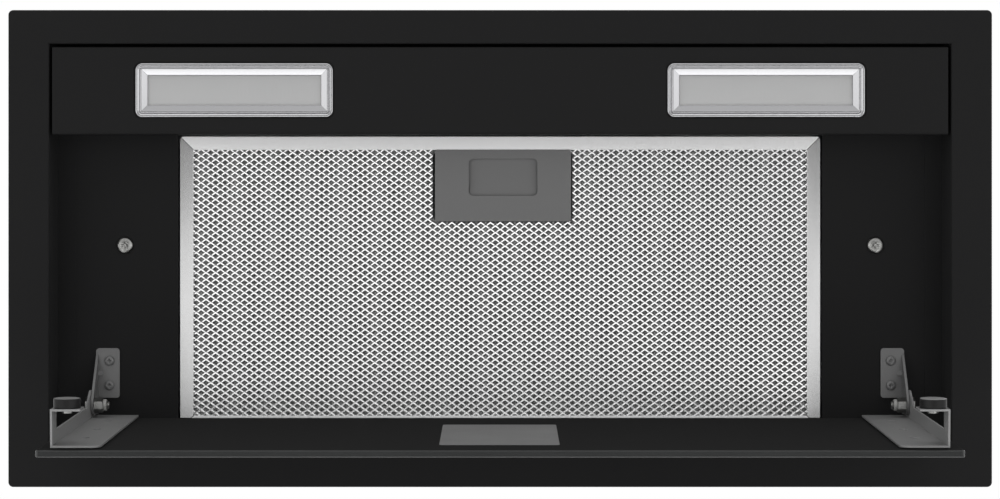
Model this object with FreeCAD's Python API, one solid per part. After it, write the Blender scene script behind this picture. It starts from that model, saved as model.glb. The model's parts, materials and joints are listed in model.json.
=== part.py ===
import FreeCAD, Part
import math
import os

# Range hood insert, seen from below through a cabinet cut-out: a wide trim frame with a shallow recess, a light
# strip along its front, an expanded-metal grease filter behind a finger latch, and a black glass panel that is
# hinged at the rear and hangs open. Millimetres, +Z up into the cabinet, -Y to the front. The origin is the
# centre of the face of the trim frame that bears on the underside of the cabinet.

V = FreeCAD.Vector
X_AXIS = V(1, 0, 0)
Y_AXIS = V(0, 1, 0)
Z_AXIS = V(0, 0, 1)
TINY = 1e-6
CLEAR = 1.0              # cutters run past a face by this much
SMALL_SIDES = 12         # small heads and small open holes are drawn with flats

# --- trim frame and recess ------------------------------------------------------------------------------------
FLANGE_W = 598.0         # trim frame, left to right
FLANGE_D = 290.0         # trim frame, front to rear
FLANGE_R = 3.0           # its outer corners
SIDE_BORDER = 24.5       # visible strip at each side of the opening
END_BORDER = 20.25       # visible strip at the front and the rear of the opening
FRAME_T = 1.0            # painted frame sheet
HEM_W = 10.0             # outer edge folded back on itself
BEND_R = 0.9             # bend from the flange into the recess
RECESS_H = 36.0          # visible face of the flange up to the pan
LEDGE_W = 11.0           # top of the recess wall, turned inwards under the pan
PAN_T = 1.2              # pan sheet

# --- housing and blower tower ---------------------------------------------------------------------------------
BODY_T = 1.0             # galvanised sheet
BOX_H = 95.0             # bearing face up to the top of the low housing
TOWER_W = 240.0
TOWER_D = 226.0
TOWER_H = 145.0          # above the low housing
TOWER_FLANGE = 10.0      # turned-out foot of the tower

# --- outlet and non-return flaps ------------------------------------------------------------------------------
DUCT_R = 74.5            # outside of the spigot, for 150 mm ducting
SPIGOT_T = 2.2
SPIGOT_H = 46.0
SPIGOT_Y = 27.0          # centre of the outlet, behind the middle of the hood
SPIGOT_FOOT = 83.0       # square foot of the spigot on the tower, from its centre
SPIGOT_FOOT_T = 3.0
SPIGOT_SCREW_IN = 8.0    # its screws from the edges of the foot
SPIGOT_HEAD_R = 3.0
SPIGOT_HEAD_H = 2.0
FLAP_Z = 14.0            # flap pin above the foot of the spigot
FLAP_T = 1.5
FLAP_GAP = 0.6           # flap edge to the spigot wall
FLAP_PIN_R = 1.5
FLAP_BARREL_R = 2.7      # knuckles round the pin
FLAP_BARREL_SIDES = 12
FLAP_STOP = 3.0          # stops that the closed flaps lie on
FLAP_STOP_DEG = (45, 135, 225, 315)
FLAP_FRONT_KNUCKLE = (12.0, 34.0)  # from the middle, at each side
FLAP_REAR_KNUCKLE = (38.0, 60.0)
RUN_GAP = 0.06           # radial running clearance of every pin in its hole
FLAT_GAP = 0.2           # clearance between faces that slide past each other

# --- blower ---------------------------------------------------------------------------------------------------
FAN_Y = -22.0
FAN_Z = 148.0
WHEEL_R = 62.0
WHEEL_W = 92.0
BLADES = 14
BLADE_CHORD = 10.5
BLADE_T = 1.1
RIM_T = 1.8              # tips of the wheel and of its blades inside the full radius
RIM_D = 2.7              # band round each end of the wheel
RIM_W = 4.0
BLADE_LEAN = 7.0         # forward lean of a blade from its inner to its outer edge, degrees
TONGUE_GAP = 5.0         # wheel to the scroll at its tongue
TONGUE_DEG = 62.0
SCROLL_GROWTH = 21.0     # how far the scroll opens from the tongue to the outlet
SCROLL_T = 2.2
SCROLL_STEPS = 20        # flats that its wall is drawn with
SCROLL_SIDE_GAP = 4.0    # wheel to the side plates
INLET_R = 51.0
OUTLET_PLATE = 156.0     # square plate on top of the scroll
MOTOR_R = 40.0
MOTOR_PLATE_R = 28.0     # middle of the bracket behind the motor
MOTOR_GAP = 2.0          # hub to the motor
SHAFT_R = 4.0
SHAFT_STUB = 16.0        # length of the shaft inside the motor
SHAFT_END = 1.0          # shaft beyond the free end of the hub
HUB_R = 11.0
HUB_L = 16.0
MOUNT_R = 68.0           # radius of the three rubber mounts
MOUNT_POST_R = 4.0
MOUNT_POST_L = 6.0
SPIDER_T = 2.0
SPIDER_ARM_W = 12.0
SPIDER_ANGLES = (30.0, 150.0, 270.0)

# --- light strip ----------------------------------------------------------------------------------------------
TRAY_GAP = 2.0           # round the strip, inside the opening
TRAY_D = 53.5            # front to rear
TRAY_T = 1.0
TRAY_R = 1.6             # bent long edges
TRAY_INSET = 0.4         # strip behind the face of the flange
TRAY_DRAFT = 1.2         # lean of its rear wall, clear of the filter
LAMP_IN = 112.7          # lamp centre inwards from the side of the opening
LAMP_BACK = 26.5         # lamp centre behind the front edge of the strip
LAMP_W = 120.6
LAMP_D = 33.4
LAMP_R = 4.5
LAMP_GAP = 0.7           # round the bezel in its cut-out
LAMP_PROUD = 0.6
LAMP_FLANGE_W = 3.0      # flange behind the strip
LAMP_FLANGE_T = 1.4
TROUGH_RIM = 4.2         # flat face of the bezel
TROUGH_SLOPE = 3.4       # width of its sloping wall
TROUGH_DEPTH = 3.6
GROOVE_IN = 1.8          # groove between the two steps of the face
GROOVE_W = 0.9
GROOVE_DEPTH = 0.6
LENS_T = 1.6
LENS_GAP = 1.0           # lens to the light board
LENS_LAP = 1.4           # lens edge held in the bezel
BOARD_T = 1.6
BOARD_INSET = 3.0
DRIVER_W = 118.0
DRIVER_D = 34.0
DRIVER_H = 22.0
DRIVER_EAR = 12.0
DRIVER_EAR_D = 14.0
DRIVER_EAR_T = 2.0

# --- grease filter --------------------------------------------------------------------------------------------
FILTER_SIDE = 75.5       # pan left at each side of the filter
FILTER_END = 12.5        # pan left behind the filter
FILTER_T = 9.0
FILTER_GAP = 0.9         # round the filter in the window of the pan
FILTER_LIFT = 0.2        # over the sheet of the pan
FILTER_FRONT_GAP = 0.7   # filter to the rear wall of the light strip
FILTER_SHEET = 0.8
FILTER_LIP = 8.4         # face of the frame members
FILTER_R = 2.0
LIP_LAP = 6.6            # how far the rear member lies over the pan
MESH_T = 1.2
MESH_GAP = 1.0           # mesh to the latch bolt
PLEAT_PITCH = 22.0
PLEAT_SHEET = 0.5

# --- latch of the filter --------------------------------------------------------------------------------------
LATCH_X = 1.8
LATCH_W = 84.6
LATCH_D = 44.5
LATCH_PROUD = 0.6
LATCH_WALL = 1.6
LATCH_R = 1.5
POCKET_W = 42.6
POCKET_D = 23.0
POCKET_FRONT = 5.5       # pocket behind the front edge of the latch plate
POCKET_R = 3.0
SLIDER_GRIP_D = 6.5      # sloping grip at the rear of the pocket
SLIDER_GRIP_H = 1.6
SLIDER_T = 1.6           # wall behind the grip
SLIDER_SIDE = 2.5        # plate of the slider beyond the pocket
SLIDER_TRAVEL = 5.0
BOLT_W = 18.0
BOLT_T = 2.4
BOLT_REACH = 0.3         # nose beyond the front edge of the filter

# --- hinge of the panel ---------------------------------------------------------------------------------------
PIVOT_IN = 28.65         # in front of the rear wall of the recess
PIVOT_DROP = 18.7        # below the pan
OPEN_DEG = 92.6          # the panel hangs open by this much from flat
EAR_T = 1.5              # ear of the fixed leaf
EAR_IN = 25.3            # inner face of that ear from the side of the opening
EAR_R = 6.2
LEAF_W = 14.6
LEAF_D = 30.8
LEAF_REAR = 3.5          # pivot behind the rear edge of the leaf
LEAF_R = 2.0
GUSSET = 3.0             # pressed stiffener in the bend of the leaf
LEAF_SCREW_IN = 8.3      # screws from the outer edge of the leaf
LEAF_SCREWS = (7.8, 23.1)  # from the front edge of the leaf
LEAF_HEAD_R = 3.0
LEAF_HEAD_H = 1.8
HINGE_BOLT_R = 2.5
HINGE_HEAD_R = 4.6
HINGE_HEAD_H = 2.6
HINGE_NUT_R = 4.0
HINGE_NUT_H = 7.5
HINGE_THREAD_END = 1.5   # bolt beyond its nut

# --- glass panel and its brackets -----------------------------------------------------------------------------
PANEL_SIDE = 14.75       # gap at each side of the glass
PANEL_FRONT = 11.05      # closed panel behind the light strip
PANEL_T = 4.0
PANEL_R = 1.5
PANEL_EDGE = 0.4         # polished edge
PANEL_BACK = 16.7        # pivot in front of the hinge edge of the glass
PANEL_DROP = 9.7         # inner face below the pivot when closed
PAD_T = 0.8              # bonding pad
BRACKET_T = 1.2
BRACKET_W = 28.0
BRACKET_START = 2.0      # from the hinge edge of the glass
BRACKET_SHORT = 5.0      # from the free edge of the glass
BRACKET_RIM = 9.0        # upright flange along the outer edge
BRACKET_CORNER = 6.0
BRACKET_EAR_R = 9.2
BRACKET_HOLE_R = 2.5
BRACKET_HOLES = (36.0, 81.0, 126.0)
BRACKET_HOLE_IN = 14.0   # from the outer edge
POST_W = 15.4
TAB_IN = 17.0            # tab under the magnet, inwards from the outer edge
MAGNET_R = 7.65
MAGNET_T = 5.6
MAGNET_AIR = 0.3         # magnet to the pan when the panel is closed
MAGNET_HEAD_R = 2.8
MAGNET_HEAD_H = 1.6

# --- cabinet clamps -------------------------------------------------------------------------------------------
CLAMP_IN = 41.5          # screw from the side of the opening
CLAMP_Y = -2.0
CLAMP_SCREW_R = 3.0
CLAMP_SCREW_END = 2.8    # end of the screw under the top of the housing
CLAMP_HEAD_R = 5.2
CLAMP_HEAD_H = 2.6
CLAMP_HEAD_SIDES = 20
CLAMP_RISE = 34.0        # arm above the pan when raised
CLAMP_TRAVEL = 26.0
CLAMP_NUT_R = 7.0
CLAMP_NUT_H = 5.0
CLAMP_NECK_R = 5.0
CLAMP_CAP_H = 1.5
ARM_T = 3.0
ARM_W = 18.0
ARM_OUT = 3.0            # dog-leg outside the housing wall
ARM_FOOT = 11.0
ARM_DROP = 26.0
SLOT_GAP = 2.0

# --- electrics on top of the housing --------------------------------------------------------------------------
CONTROL_W = 104.0
CONTROL_D = 92.0
CONTROL_H = 42.0
CONTROL_T = 2.0
CONTROL_Y = 30.0
LID_T = 2.0
LID_RIM_T = 1.5
LID_RIM_H = 4.0
GLAND_NUT_R = 9.0
GLAND_NUT_L = 6.4
GLAND_SHANK_R = 6.3
GLAND_CAP_R = 7.0
GLAND_CAP_SIDES = 12
GLAND_BORE_R = 3.6
GLAND_L = 16.0
TERMINAL_W = 40.0
TERMINAL_D = 16.0
TERMINAL_H = 14.0
TERMINAL_WAYS = 4
CAP_R = 14.0
CAP_L = 52.0
CAP_SIDES = 16           # its can is drawn with flats

# --- places worked out from the sizes above -------------------------------------------------------------------
OPEN_W = FLANGE_W - 2 * SIDE_BORDER
OPEN_D = FLANGE_D - 2 * END_BORDER
FACE_Z = -2 * FRAME_T
PAN_Z = FACE_Z + RECESS_H
PAN_TOP = PAN_Z + PAN_T
FILTER_W = OPEN_W - 2 * FILTER_SIDE
PANEL_W = OPEN_W - 2 * PANEL_SIDE
LAMP_X = OPEN_W / 2 - LAMP_IN
EAR_X = OPEN_W / 2 - EAR_IN
CLAMP_X = OPEN_W / 2 - CLAMP_IN
BODY_W = OPEN_W + 2 * FRAME_T + 2 * BODY_T
BODY_D = OPEN_D + 2 * FRAME_T + 2 * BODY_T
CONTROL_X = -(BODY_W + TOWER_W + 2 * TOWER_FLANGE) / 4  # midway between the housing side and the tower
TOWER_TOP = BOX_H + TOWER_H
SPIGOT_TOP = TOWER_TOP + SPIGOT_H
FLAP_PIN_Z = TOWER_TOP + FLAP_Z
TRAY_Z = FACE_Z + TRAY_INSET
TRAY_FRONT = -OPEN_D / 2 + TRAY_GAP
TRAY_REAR = TRAY_FRONT + TRAY_D
TRAY_W = OPEN_W - 2 * TRAY_GAP
LAMP_Y = TRAY_FRONT + LAMP_BACK
FILTER_Z = PAN_TOP + FILTER_LIFT
FILTER_FRONT = TRAY_REAR - TRAY_DRAFT + FILTER_FRONT_GAP
FILTER_REAR = OPEN_D / 2 - FILTER_END
FILTER_D = FILTER_REAR - FILTER_FRONT
LIP_Y = FILTER_REAR - LIP_LAP
LATCH_FRONT = FILTER_FRONT + FILTER_LIP
PIVOT_Y = OPEN_D / 2 - PIVOT_IN
PIVOT_Z = PAN_Z - PIVOT_DROP
PANEL_IN_Z = PIVOT_Z - PANEL_DROP
PANEL_FAR = PIVOT_Y + PANEL_BACK
PANEL_D = PANEL_FAR - TRAY_REAR - PANEL_FRONT
BRACKET_END = PANEL_D - BRACKET_SHORT
BRACKET_X = EAR_X + EAR_T + FLAT_GAP + BRACKET_T
CLAMP_ARM_Z = PAN_TOP + CLAMP_RISE
SCROLL_R0 = WHEEL_R + TONGUE_GAP
SCROLL_HALF = WHEEL_W / 2 + SCROLL_SIDE_GAP
SCROLL_SIDE = SCROLL_HALF + SCROLL_T
SCROLL_TOP = TOWER_TOP - BODY_T
SCROLL_END_Y = FAN_Y + SCROLL_R0 + SCROLL_GROWTH
SCROLL_TONGUE_Y = FAN_Y + SCROLL_R0 * math.cos(math.radians(TONGUE_DEG))


# --- shapes ---------------------------------------------------------------------------------------------------
def block(x, y, z):
    """Box between three (low, high) pairs."""
    return Part.makeBox(x[1] - x[0], y[1] - y[0], z[1] - z[0], V(x[0], y[0], z[0]))


def upright_edges(shape):
    """Straight edges that run along Z."""
    return [e for e in shape.Edges if abs(abs(e.tangentAt(e.FirstParameter).z) - 1) < TINY]


def slab(width, depth, z, radius=0.0, centre=(0.0, 0.0)):
    """Flat plate with rounded corners in plan."""
    x, y = centre
    body = block((x - width / 2, x + width / 2), (y - depth / 2, y + depth / 2), z)
    return body.makeFillet(radius, upright_edges(body)) if radius else body


def ring(width, depth, border, z, radius=0.0, inner_radius=0.0, centre=(0.0, 0.0)):
    """Flat frame of one border width."""
    hole = slab(width - 2 * border, depth - 2 * border, z, inner_radius, centre)
    return slab(width, depth, z, radius, centre).cut(hole)


def rod(radius, start, end):
    """Round bar between two points."""
    axis = end - start
    return Part.makeCylinder(radius, axis.Length, start, axis)


def tube(outer, inner, start, end):
    """Round tube between two points."""
    return rod(outer, start, end).cut(rod(inner, start, end))


def side_prism(points, x):
    """Outline of (y, z) points, drawn out along X."""
    corners = [V(x[0], y, z) for y, z in points]
    face = Part.Face(Part.makePolygon(corners + corners[:1]))
    return face.extrude(V(x[1] - x[0], 0, 0))


def front_prism(points, y):
    """Outline of (x, z) points, drawn out along Y."""
    corners = [V(x, y[0], z) for x, z in points]
    face = Part.Face(Part.makePolygon(corners + corners[:1]))
    return face.extrude(V(0, y[1] - y[0], 0))


def mirrored(shape):
    """The right-hand copy of a left-hand piece."""
    return shape.mirror(V(0, 0, 0), X_AXIS)


def tangent(point, centre, radius, side):
    """Where the line from a point touches a circle, on one side of it; all in (y, z)."""
    dy, dz = point[0] - centre[0], point[1] - centre[1]
    away = math.hypot(dy, dz)
    turn = math.atan2(dz, dy) + side * math.acos(radius / away)
    return (centre[0] + radius * math.cos(turn), centre[1] + radius * math.sin(turn))


def bar(sides, flat_r, start, run):
    """Straight bar with flat sides from a point along a vector; flat_r is measured to the flats."""
    corner = flat_r / math.cos(math.pi / sides)
    across = Y_AXIS if abs(run.x) > TINY else X_AXIS
    along = run.cross(across).normalize()
    turns = [2 * math.pi * k / sides for k in range(sides + 1)]
    points = [start + across * (corner * math.cos(a)) + along * (corner * math.sin(a)) for a in turns]
    return Part.Face(Part.makePolygon(points)).extrude(run)


def hexagon(flat_r, start, run):
    """Six-sided nut or screw head."""
    return bar(6, flat_r, start, run)


def small_head(radius, height, at):
    """Head of a small screw driven upwards, with its seat at the given point, faceted in place of round."""
    return bar(SMALL_SIDES, radius, at, -Z_AXIS * height)


# --- trim frame, pan and housing ------------------------------------------------------------------------------
def trim_frame():
    """Folded flange, recess walls and the ledge under the pan, from one sheet."""
    sheet = slab(FLANGE_W, FLANGE_D, (FACE_Z, FACE_Z + FRAME_T), FLANGE_R)
    hem = ring(FLANGE_W, FLANGE_D, HEM_W, (FACE_Z + FRAME_T, 0), FLANGE_R, FLANGE_R)
    wall = slab(OPEN_W + 2 * FRAME_T, OPEN_D + 2 * FRAME_T, (FACE_Z, PAN_Z))
    frame = sheet.fuse([hem, wall]).removeSplitter()
    recess = slab(OPEN_W, OPEN_D, (FACE_Z, PAN_Z - FRAME_T))
    window = slab(OPEN_W - 2 * LEDGE_W, OPEN_D - 2 * LEDGE_W, (FACE_Z, PAN_Z))
    frame = frame.cut(recess.fuse(window))
    mouth = [e for e in frame.Edges
             if e.BoundBox.ZLength < TINY and abs(e.CenterOfMass.z - FACE_Z) < TINY
             and abs(e.CenterOfMass.x) < OPEN_W / 2 + TINY and abs(e.CenterOfMass.y) < OPEN_D / 2 + TINY]
    return frame.makeFillet(BEND_R, mouth)


def leaf_screw_places():
    """Screws of the left hinge leaf, as (x, y)."""
    x = -(EAR_X + EAR_T) + LEAF_SCREW_IN
    front = PIVOT_Y - LEAF_REAR - LEAF_D
    return [(x, front + along) for along in LEAF_SCREWS]


def inner_pan():
    """Pan that closes the recess, with the filter window and its screw holes."""
    inside = OPEN_W + 2 * FRAME_T
    pan = slab(inside - FLAT_GAP, OPEN_D + 2 * FRAME_T - FLAT_GAP, (PAN_Z, PAN_TOP))
    half = FILTER_W / 2 + FILTER_GAP
    window = block((-half, half), (FILTER_FRONT - FILTER_GAP, LIP_Y), (PAN_Z, PAN_TOP))
    seats = [V(side * CLAMP_X, CLAMP_Y, PAN_Z) for side in (-1, 1)]
    return pan.cut([window] + [rod(CLAMP_SCREW_R + RUN_GAP, at, at + Z_AXIS * PAN_T) for at in seats])


def clamp_slot():
    """Window in the left side wall that the clamp arm swings and slides through."""
    reach = BODY_W / 2 + ARM_OUT + ARM_T + ARM_FOOT - CLAMP_X
    inner = BODY_W / 2 - BODY_T - CLAMP_X
    swing = math.sqrt(math.hypot(reach, ARM_W / 2) ** 2 - inner ** 2)
    low = CLAMP_ARM_Z - max(CLAMP_TRAVEL, ARM_DROP) - SLOT_GAP
    high = CLAMP_ARM_Z + ARM_T + FLAT_GAP + SLOT_GAP
    return block((-BODY_W / 2 - CLEAR, -BODY_W / 2 + BODY_T + CLEAR),
                 (CLAMP_Y - ARM_W / 2 - SLOT_GAP, CLAMP_Y + swing + SLOT_GAP), (low, high))


def housing_shell():
    """Low galvanised housing: four walls and a top with the blower opening."""
    shell = slab(BODY_W, BODY_D, (FACE_Z + FRAME_T, BOX_H), BODY_T)
    inside = slab(BODY_W - 2 * BODY_T, BODY_D - 2 * BODY_T, (FACE_Z + FRAME_T, BOX_H - BODY_T))
    opening = slab(TOWER_W - 2 * TOWER_FLANGE, TOWER_D - 2 * TOWER_FLANGE, (BOX_H - BODY_T, BOX_H))
    slot = clamp_slot()
    return shell.cut([inside, opening, slot, mirrored(slot)])


def tower_shell():
    """Blower tower with a turned-out foot and the round outlet in its top."""
    z_foot = (BOX_H, BOX_H + BODY_T)
    foot = slab(TOWER_W + 2 * TOWER_FLANGE, TOWER_D + 2 * TOWER_FLANGE, z_foot)
    body = slab(TOWER_W, TOWER_D, (BOX_H, TOWER_TOP))
    inside = slab(TOWER_W - 2 * BODY_T, TOWER_D - 2 * BODY_T, (BOX_H, TOWER_TOP - BODY_T))
    outlet = rod(DUCT_R - SPIGOT_T, V(0, SPIGOT_Y, TOWER_TOP - BODY_T), V(0, SPIGOT_Y, TOWER_TOP))
    return body.fuse(foot).cut([inside, outlet]).removeSplitter()


# --- outlet ---------------------------------------------------------------------------------------------------
def spigot_screw_places():
    """Four screws through the corners of the foot of the spigot, as (x, y)."""
    reach = SPIGOT_FOOT - SPIGOT_SCREW_IN
    return [(sx * reach, SPIGOT_Y + sy * reach) for sx in (-1, 1) for sy in (-1, 1)]


def outlet_spigot():
    """Moulded outlet with a square foot, four stops under the flaps and the sockets of the flap pin."""
    inner = DUCT_R - SPIGOT_T
    centre = V(0, SPIGOT_Y, TOWER_TOP)
    foot = slab(2 * SPIGOT_FOOT, 2 * SPIGOT_FOOT, (TOWER_TOP, TOWER_TOP + SPIGOT_FOOT_T), 0, (0, SPIGOT_Y))
    high = FLAP_PIN_Z - FLAP_T / 2 - FLAT_GAP
    stops = []
    for angle in FLAP_STOP_DEG:
        stop = block((inner - FLAP_STOP, inner + SPIGOT_T / 2), (SPIGOT_Y - FLAP_STOP, SPIGOT_Y + FLAP_STOP),
                     (high - FLAP_STOP, high))
        stop.rotate(centre, Z_AXIS, angle)
        stops.append(stop)
    wall = rod(DUCT_R, centre, V(0, SPIGOT_Y, SPIGOT_TOP))
    hollow = rod(inner, centre, V(0, SPIGOT_Y, SPIGOT_TOP))
    return wall.fuse(foot).cut(hollow).fuse(stops).cut(flap_pin()).removeSplitter()


def spigot_screws():
    """Hexagon heads of the screws on the foot of the spigot."""
    top = TOWER_TOP + SPIGOT_FOOT_T
    return Part.makeCompound([hexagon(SPIGOT_HEAD_R, V(x, y, top), Z_AXIS * SPIGOT_HEAD_H)
                              for x, y in spigot_screw_places()])


def flap_pin():
    """Pin across the outlet that both flaps turn on."""
    half = DUCT_R - SPIGOT_T / 2
    return rod(FLAP_PIN_R, V(-half, SPIGOT_Y, FLAP_PIN_Z), V(half, SPIGOT_Y, FLAP_PIN_Z))


def flap(side, knuckle):
    """Half-round flap towards +Y or -Y of the pin, with a knuckle at each side of the middle."""
    outer = DUCT_R - SPIGOT_T - FLAP_GAP
    z = (FLAP_PIN_Z - FLAP_T / 2, FLAP_PIN_Z + FLAP_T / 2)
    disc = rod(outer, V(0, SPIGOT_Y, z[0]), V(0, SPIGOT_Y, z[1]))
    start = SPIGOT_Y + side * (FLAP_BARREL_R + FLAP_GAP)
    end = SPIGOT_Y + side * (outer + CLEAR)
    half = disc.common(block((-outer, outer), sorted((start, end)), z))
    for sign in (-1, 1):
        x = sorted((sign * knuckle[0], sign * knuckle[1]))
        root = block(x, sorted((SPIGOT_Y, start + side * FLAP_GAP)), z)
        half = half.fuse([root, bar(FLAP_BARREL_SIDES, FLAP_BARREL_R, V(x[0], SPIGOT_Y, FLAP_PIN_Z),
                                    X_AXIS * (x[1] - x[0]))])
    bore = rod(FLAP_PIN_R + RUN_GAP, V(-outer, SPIGOT_Y, FLAP_PIN_Z), V(outer, SPIGOT_Y, FLAP_PIN_Z))
    return half.cut(bore).removeSplitter()


# --- blower ---------------------------------------------------------------------------------------------------
def scroll_radius(degrees):
    """Inner radius of the scroll at an angle counted from +Y towards +Z."""
    return SCROLL_R0 + SCROLL_GROWTH * (degrees - TONGUE_DEG) / (360 - TONGUE_DEG)


def scroll_region(grow, x):
    """Filled scroll and its outlet duct, grown outwards, between two x values."""
    outline = []
    for k in range(SCROLL_STEPS + 1):
        degrees = TONGUE_DEG + (360 - TONGUE_DEG) * k / SCROLL_STEPS
        radius = scroll_radius(degrees) + grow
        turn = math.radians(degrees)
        outline.append((FAN_Y + radius * math.cos(turn), FAN_Z + radius * math.sin(turn)))
    body = side_prism(outline, x)
    duct = block(x, (SCROLL_TONGUE_Y - grow, SCROLL_END_Y + grow), (FAN_Z, SCROLL_TOP))
    return body.fuse(duct).removeSplitter()


def scroll():
    """The whole scroll housing, open at both inlets and at its top."""
    shell = scroll_region(SCROLL_T, (-SCROLL_SIDE, SCROLL_SIDE))
    half = OUTLET_PLATE / 2
    plate = block((-half, half), (SPIGOT_Y - half, SPIGOT_Y + half), (SCROLL_TOP - SCROLL_T, SCROLL_TOP))
    centre = V(0, FAN_Y, FAN_Z)
    reach = X_AXIS * SCROLL_SIDE
    solid = shell.fuse(plate)
    air = scroll_region(0, (-SCROLL_HALF, SCROLL_HALF))
    inlet = rod(INLET_R, centre - reach, centre + reach)
    return solid.cut(air).cut(inlet)


def scroll_half(side):
    """Left (-1) or right (1) half of the scroll housing."""
    reach = side * (OUTLET_PLATE + SCROLL_SIDE)
    keep = block(sorted((0, reach)), (-BODY_D, BODY_D), (0, SPIGOT_TOP))
    return scroll().common(keep)


def impeller():
    """Double-inlet wheel: middle disc with a hub, forward-leaning blades and a faceted rim at each end."""
    centre = V(0, FAN_Y, FAN_Z)
    half = WHEEL_W / 2
    inner, outer = WHEEL_R - BLADE_CHORD, WHEEL_R - RIM_T / 2
    disc = bar(BLADES, inner + RIM_T, centre - X_AXIS * (RIM_T / 2), X_AXIS * RIM_T)
    hub = rod(HUB_R, centre - X_AXIS * (HUB_L / 2), centre + X_AXIS * (HUB_L / 2))
    rims = []
    for x in (-half, half - RIM_W):
        start = centre + X_AXIS * x
        band = bar(BLADES, WHEEL_R - RIM_T, start, X_AXIS * RIM_W)
        rims.append(band.cut(bar(BLADES, WHEEL_R - RIM_T - RIM_D, start, X_AXIS * RIM_W)))
    thick = math.degrees(BLADE_T / outer)

    def at(radius, degrees):
        turn = math.radians(degrees)
        return (FAN_Y + radius * math.cos(turn), FAN_Z + radius * math.sin(turn))

    blades = []
    for k in range(BLADES):
        a = 360.0 * k / BLADES
        outline = [at(inner, a), at(outer - RIM_T, a + BLADE_LEAN), at(outer - RIM_T, a + BLADE_LEAN + thick),
                   at(inner, a + thick)]
        blades.append(side_prism(outline, (-half + RIM_W, half - RIM_W)))
    wheel = disc.fuse([hub] + rims + blades)
    return wheel.cut(rod(SHAFT_R, centre - X_AXIS * HUB_L, centre + X_AXIS * HUB_L))


def motor_start():
    """Inner face of the motor, clear of the hub."""
    return HUB_L / 2 + MOTOR_GAP


def motor_shaft():
    """Motor shaft with the wheel on it."""
    centre = V(0, FAN_Y, FAN_Z)
    end = motor_start() + SHAFT_STUB
    return rod(SHAFT_R, centre - X_AXIS * (HUB_L / 2 + SHAFT_END), centre + X_AXIS * end)


def fan_motor():
    """Motor can with the bore of the shaft."""
    x0 = motor_start()
    centre = V(0, FAN_Y, FAN_Z)
    can = rod(MOTOR_R, centre + X_AXIS * x0, centre + X_AXIS * (SCROLL_SIDE + MOUNT_POST_L))
    bore = rod(SHAFT_R + RUN_GAP, centre + X_AXIS * x0, centre + X_AXIS * (x0 + SHAFT_STUB + CLEAR))
    return can.cut(bore)


def spider_places():
    """The three rubber mounts, as (y, z)."""
    return [(FAN_Y + MOUNT_R * math.cos(math.radians(a)), FAN_Z + MOUNT_R * math.sin(math.radians(a)))
            for a in SPIDER_ANGLES]


def motor_spider():
    """Three-armed bracket that carries the motor outside the right inlet."""
    x = (SCROLL_SIDE + MOUNT_POST_L, SCROLL_SIDE + MOUNT_POST_L + SPIDER_T)
    centre = V(x[0], FAN_Y, FAN_Z)
    plate = bar(2 * len(SPIDER_ANGLES), MOTOR_PLATE_R, centre, X_AXIS * SPIDER_T)
    for angle in SPIDER_ANGLES:
        arm = block(x, (FAN_Y, FAN_Y + MOUNT_R + MOUNT_POST_R),
                    (FAN_Z - SPIDER_ARM_W / 2, FAN_Z + SPIDER_ARM_W / 2))
        arm.rotate(centre, X_AXIS, angle)
        plate = plate.fuse(arm)
    return plate.removeSplitter()


def motor_mounts():
    """Three square rubber posts between the scroll and the bracket."""
    return Part.makeCompound([
        block((SCROLL_SIDE, SCROLL_SIDE + MOUNT_POST_L), (y - MOUNT_POST_R, y + MOUNT_POST_R),
              (z - MOUNT_POST_R, z + MOUNT_POST_R)) for y, z in spider_places()])


# --- light strip ----------------------------------------------------------------------------------------------
def lamp_centre(side):
    return (side * LAMP_X, LAMP_Y)


def light_tray():
    """Bent tray along the front of the recess, with the two lamp cut-outs."""
    half = TRAY_W / 2
    outer = side_prism([(TRAY_FRONT, TRAY_Z), (TRAY_REAR, TRAY_Z), (TRAY_REAR - TRAY_DRAFT, PAN_Z),
                        (TRAY_FRONT, PAN_Z)], (-half, half))
    long_bends = [e for e in outer.Edges
                  if abs(e.CenterOfMass.z - TRAY_Z) < TINY and abs(e.CenterOfMass.x) < TINY]
    outer = outer.makeFillet(TRAY_R, long_bends)
    inner = side_prism([(TRAY_FRONT + TRAY_T, TRAY_Z + TRAY_T), (TRAY_REAR - TRAY_T, TRAY_Z + TRAY_T),
                        (TRAY_REAR - TRAY_DRAFT - TRAY_T, PAN_Z), (TRAY_FRONT + TRAY_T, PAN_Z)],
                       (-half + TRAY_T, half - TRAY_T))
    ledge = ring(OPEN_W, OPEN_D, LEDGE_W + FLAT_GAP, (PAN_Z - FRAME_T, PAN_Z))
    cuts = [slab(LAMP_W + 2 * LAMP_GAP, LAMP_D + 2 * LAMP_GAP, (TRAY_Z, TRAY_Z + TRAY_T), LAMP_R + LAMP_GAP,
                 lamp_centre(side)) for side in (-1, 1)]
    return outer.cut([inner, ledge] + cuts)


def lamp_top():
    """Upper face of the lens in its bezel."""
    return TRAY_Z - LAMP_PROUD + TROUGH_DEPTH + LENS_T


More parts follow.
